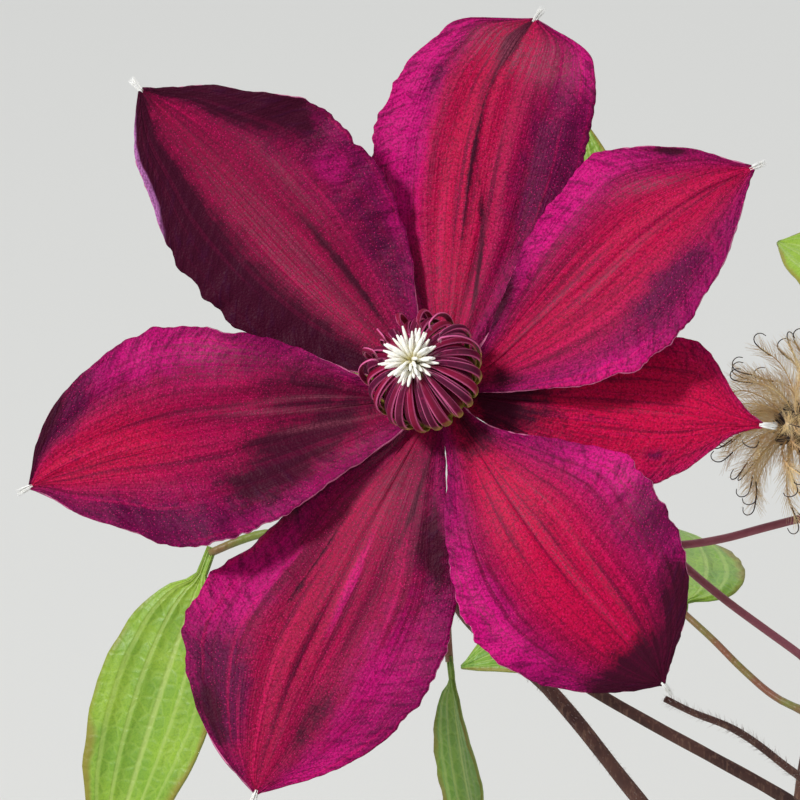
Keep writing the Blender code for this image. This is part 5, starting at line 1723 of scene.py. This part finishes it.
buff = Finish("buff_silk", Roughness=0.55, Sheen_Weight=0.4, Sheen_Roughness=0.4)
spot = buff.place()
buff.feed("Base Color", (spot.cloud(260, 3).ramp(0.35, 0.7)).mix(paint(250, 226, 168), paint(222, 180, 116)))
buff.dress(plumes, tails)
knot = Finish("seed_husk", Roughness=0.6)
spot = knot.place()
husk = spot.cloud(900, 4)
knot.feed("Base Color", husk.ramp(0.35, 0.7).mix(paint(30, 20, 20), paint(70, 48, 40)))
knot.feed("Normal", husk.relief(0.2 * MM))
knot.dress(dark_knot, hooks)
bark.dress(seed_stalk)
settle(plumes, "plume", "seed_head")
settle(tails, "plume")
settle(dark_knot, "vine_bark")
settle(hooks, "vine_bark")
settle(seed_stalk, "vine_bark", "seed_stalk")


# Leaves round the front bloom: two single blades on the leafy shoot, a broad yellow-green one at the
# lower left and a narrow one below the bloom, and two on long pinkish stalks that run behind it.

place, across, up, forward = front_face.place, front_face.across, front_face.up, front_face.forward
tip = place(-20, -27, -42)
face_leaves = {"shoot_leaf_left": build_leaf(
    "green_shoot_leaf_left", smooth_route([tip, place(-30, -24.5, -43), place(-40, -28, -44)], 2),
    across * -0.34 - up * 0.94, forward + up * 0.3 - across * 0.3, 0.068, 31, 1, 0.10, 0.6)}
face_leaves["shoot_leaf_down"] = build_leaf(
    "green_shoot_leaf_down", smooth_route([place(1.5, -37.7, -38.4), place(1.6, -42, -39), place(2, -47, -39)], 2),
    across * 0.1 - up * 0.97 - forward * 0.2, forward * 0.5 - across, 0.058, 32, 1, 0.10, 0.5)
joint, out = vine_joint("vine_front", 0.420, 190)
face_leaves["long_leaf_upper"] = build_leaf(
    "green_long_leaf_upper", smooth_route([joint, joint + out * 0.012, place(63, -22, -42), place(43, -26.5, -46),
                                           place(22, -24, -48), place(4, -10, -47)], 3),
    across * -0.6 + up * 0.75, forward + up * 0.2, 0.062, 33, 1, 0.05)
joint, out = vine_joint("vine_front", 0.385, 185)
face_leaves["long_leaf_right"] = build_leaf(
    "green_long_leaf_right", smooth_route([joint, joint + out * 0.012, place(63, -45.5, -38), place(44, -31, -40),
                                           place(32, -18, -50), place(23, -2, -55)], 3),
    across * 0.05 + up * 0.98, forward + across * 0.2, 0.056, 34, 1, 0.06, 0.8)
for name in ("long_leaf_upper", "long_leaf_right"):
    mesh = face_leaves[name].data
    mesh.attributes.new("blush", "FLOAT", "POINT").data.foreach_set("value", [1.0] * len(mesh.vertices))
leaf_skin.dress(*face_leaves.values())
for name, leaf in face_leaves.items():
    settle(leaf, "leaf_skin", name)


# Floor, light and camera. A plain pale floor that runs far back, a soft key light from the upper
# left, where the photo's light stands, two weaker ones from the right and behind, and a pale sky.

FLOOR_SIZE = 80.0
SKY_STRENGTH = 0.50
LIGHTS = {
    # way from the bloom, distance, size, power in watts
    "key_light": ((-0.60, -0.36, 0.72), 2.2, 0.34, 40.0),
    "right_fill": ((0.95, -0.45, 0.35), 2.4, 1.6, 5.0),
    "back_light": ((0.25, 0.95, 0.60), 2.4, 1.4, 10.0),
}
PIXEL = 0.175 * MM
FRAME_PIXELS = 800
SENSOR_WIDTH = 36.0
VIEW_CENTRE_FROM_HEART = (-40, -7)

deselect()
bpy.ops.mesh.primitive_plane_add(size=FLOOR_SIZE)
floor = bpy.context.object
floor.name = "floor"
floor_paint = Finish("floor_paint", Base_Color=paint(226, 226, 222), Roughness=0.9)
floor_paint.dress(floor)

for name, (way, distance, size, power) in LIGHTS.items():
    light = bpy.data.lights.new(name, "AREA")
    light.size = size
    light.energy = power
    lamp = bpy.data.objects.new(name, light)
    lamp.location = BLOOM_HEART + Vector(way).normalized() * distance
    lamp.rotation_euler = (BLOOM_HEART - lamp.location).to_track_quat("-Z", "Y").to_euler()
    bpy.context.scene.collection.objects.link(lamp)

sky = bpy.data.worlds.new("sky")
sky.use_nodes = True
sky.node_tree.nodes["Background"].inputs["Color"].default_value = paint(244, 246, 250)
sky.node_tree.nodes["Background"].inputs["Strength"].default_value = SKY_STRENGTH
bpy.context.scene.world = sky
bpy.context.scene.view_settings.view_transform = "Standard"

middle = BLOOM_HEART + PIXEL * (front_face.across * VIEW_CENTRE_FROM_HEART[0]
                                + front_face.up * VIEW_CENTRE_FROM_HEART[1])
lens = bpy.data.cameras.new("camera")
lens.sensor_width = SENSOR_WIDTH
lens.lens = SENSOR_WIDTH * FACE_DISTANCE / (FRAME_PIXELS * PIXEL)
camera = bpy.data.objects.new("camera", lens)
camera.location = middle + front_face.forward * FACE_DISTANCE
camera.rotation_euler = (middle - camera.location).to_track_quat("-Z", "Y").to_euler()
bpy.context.scene.collection.objects.link(camera)
bpy.context.scene.camera = camera
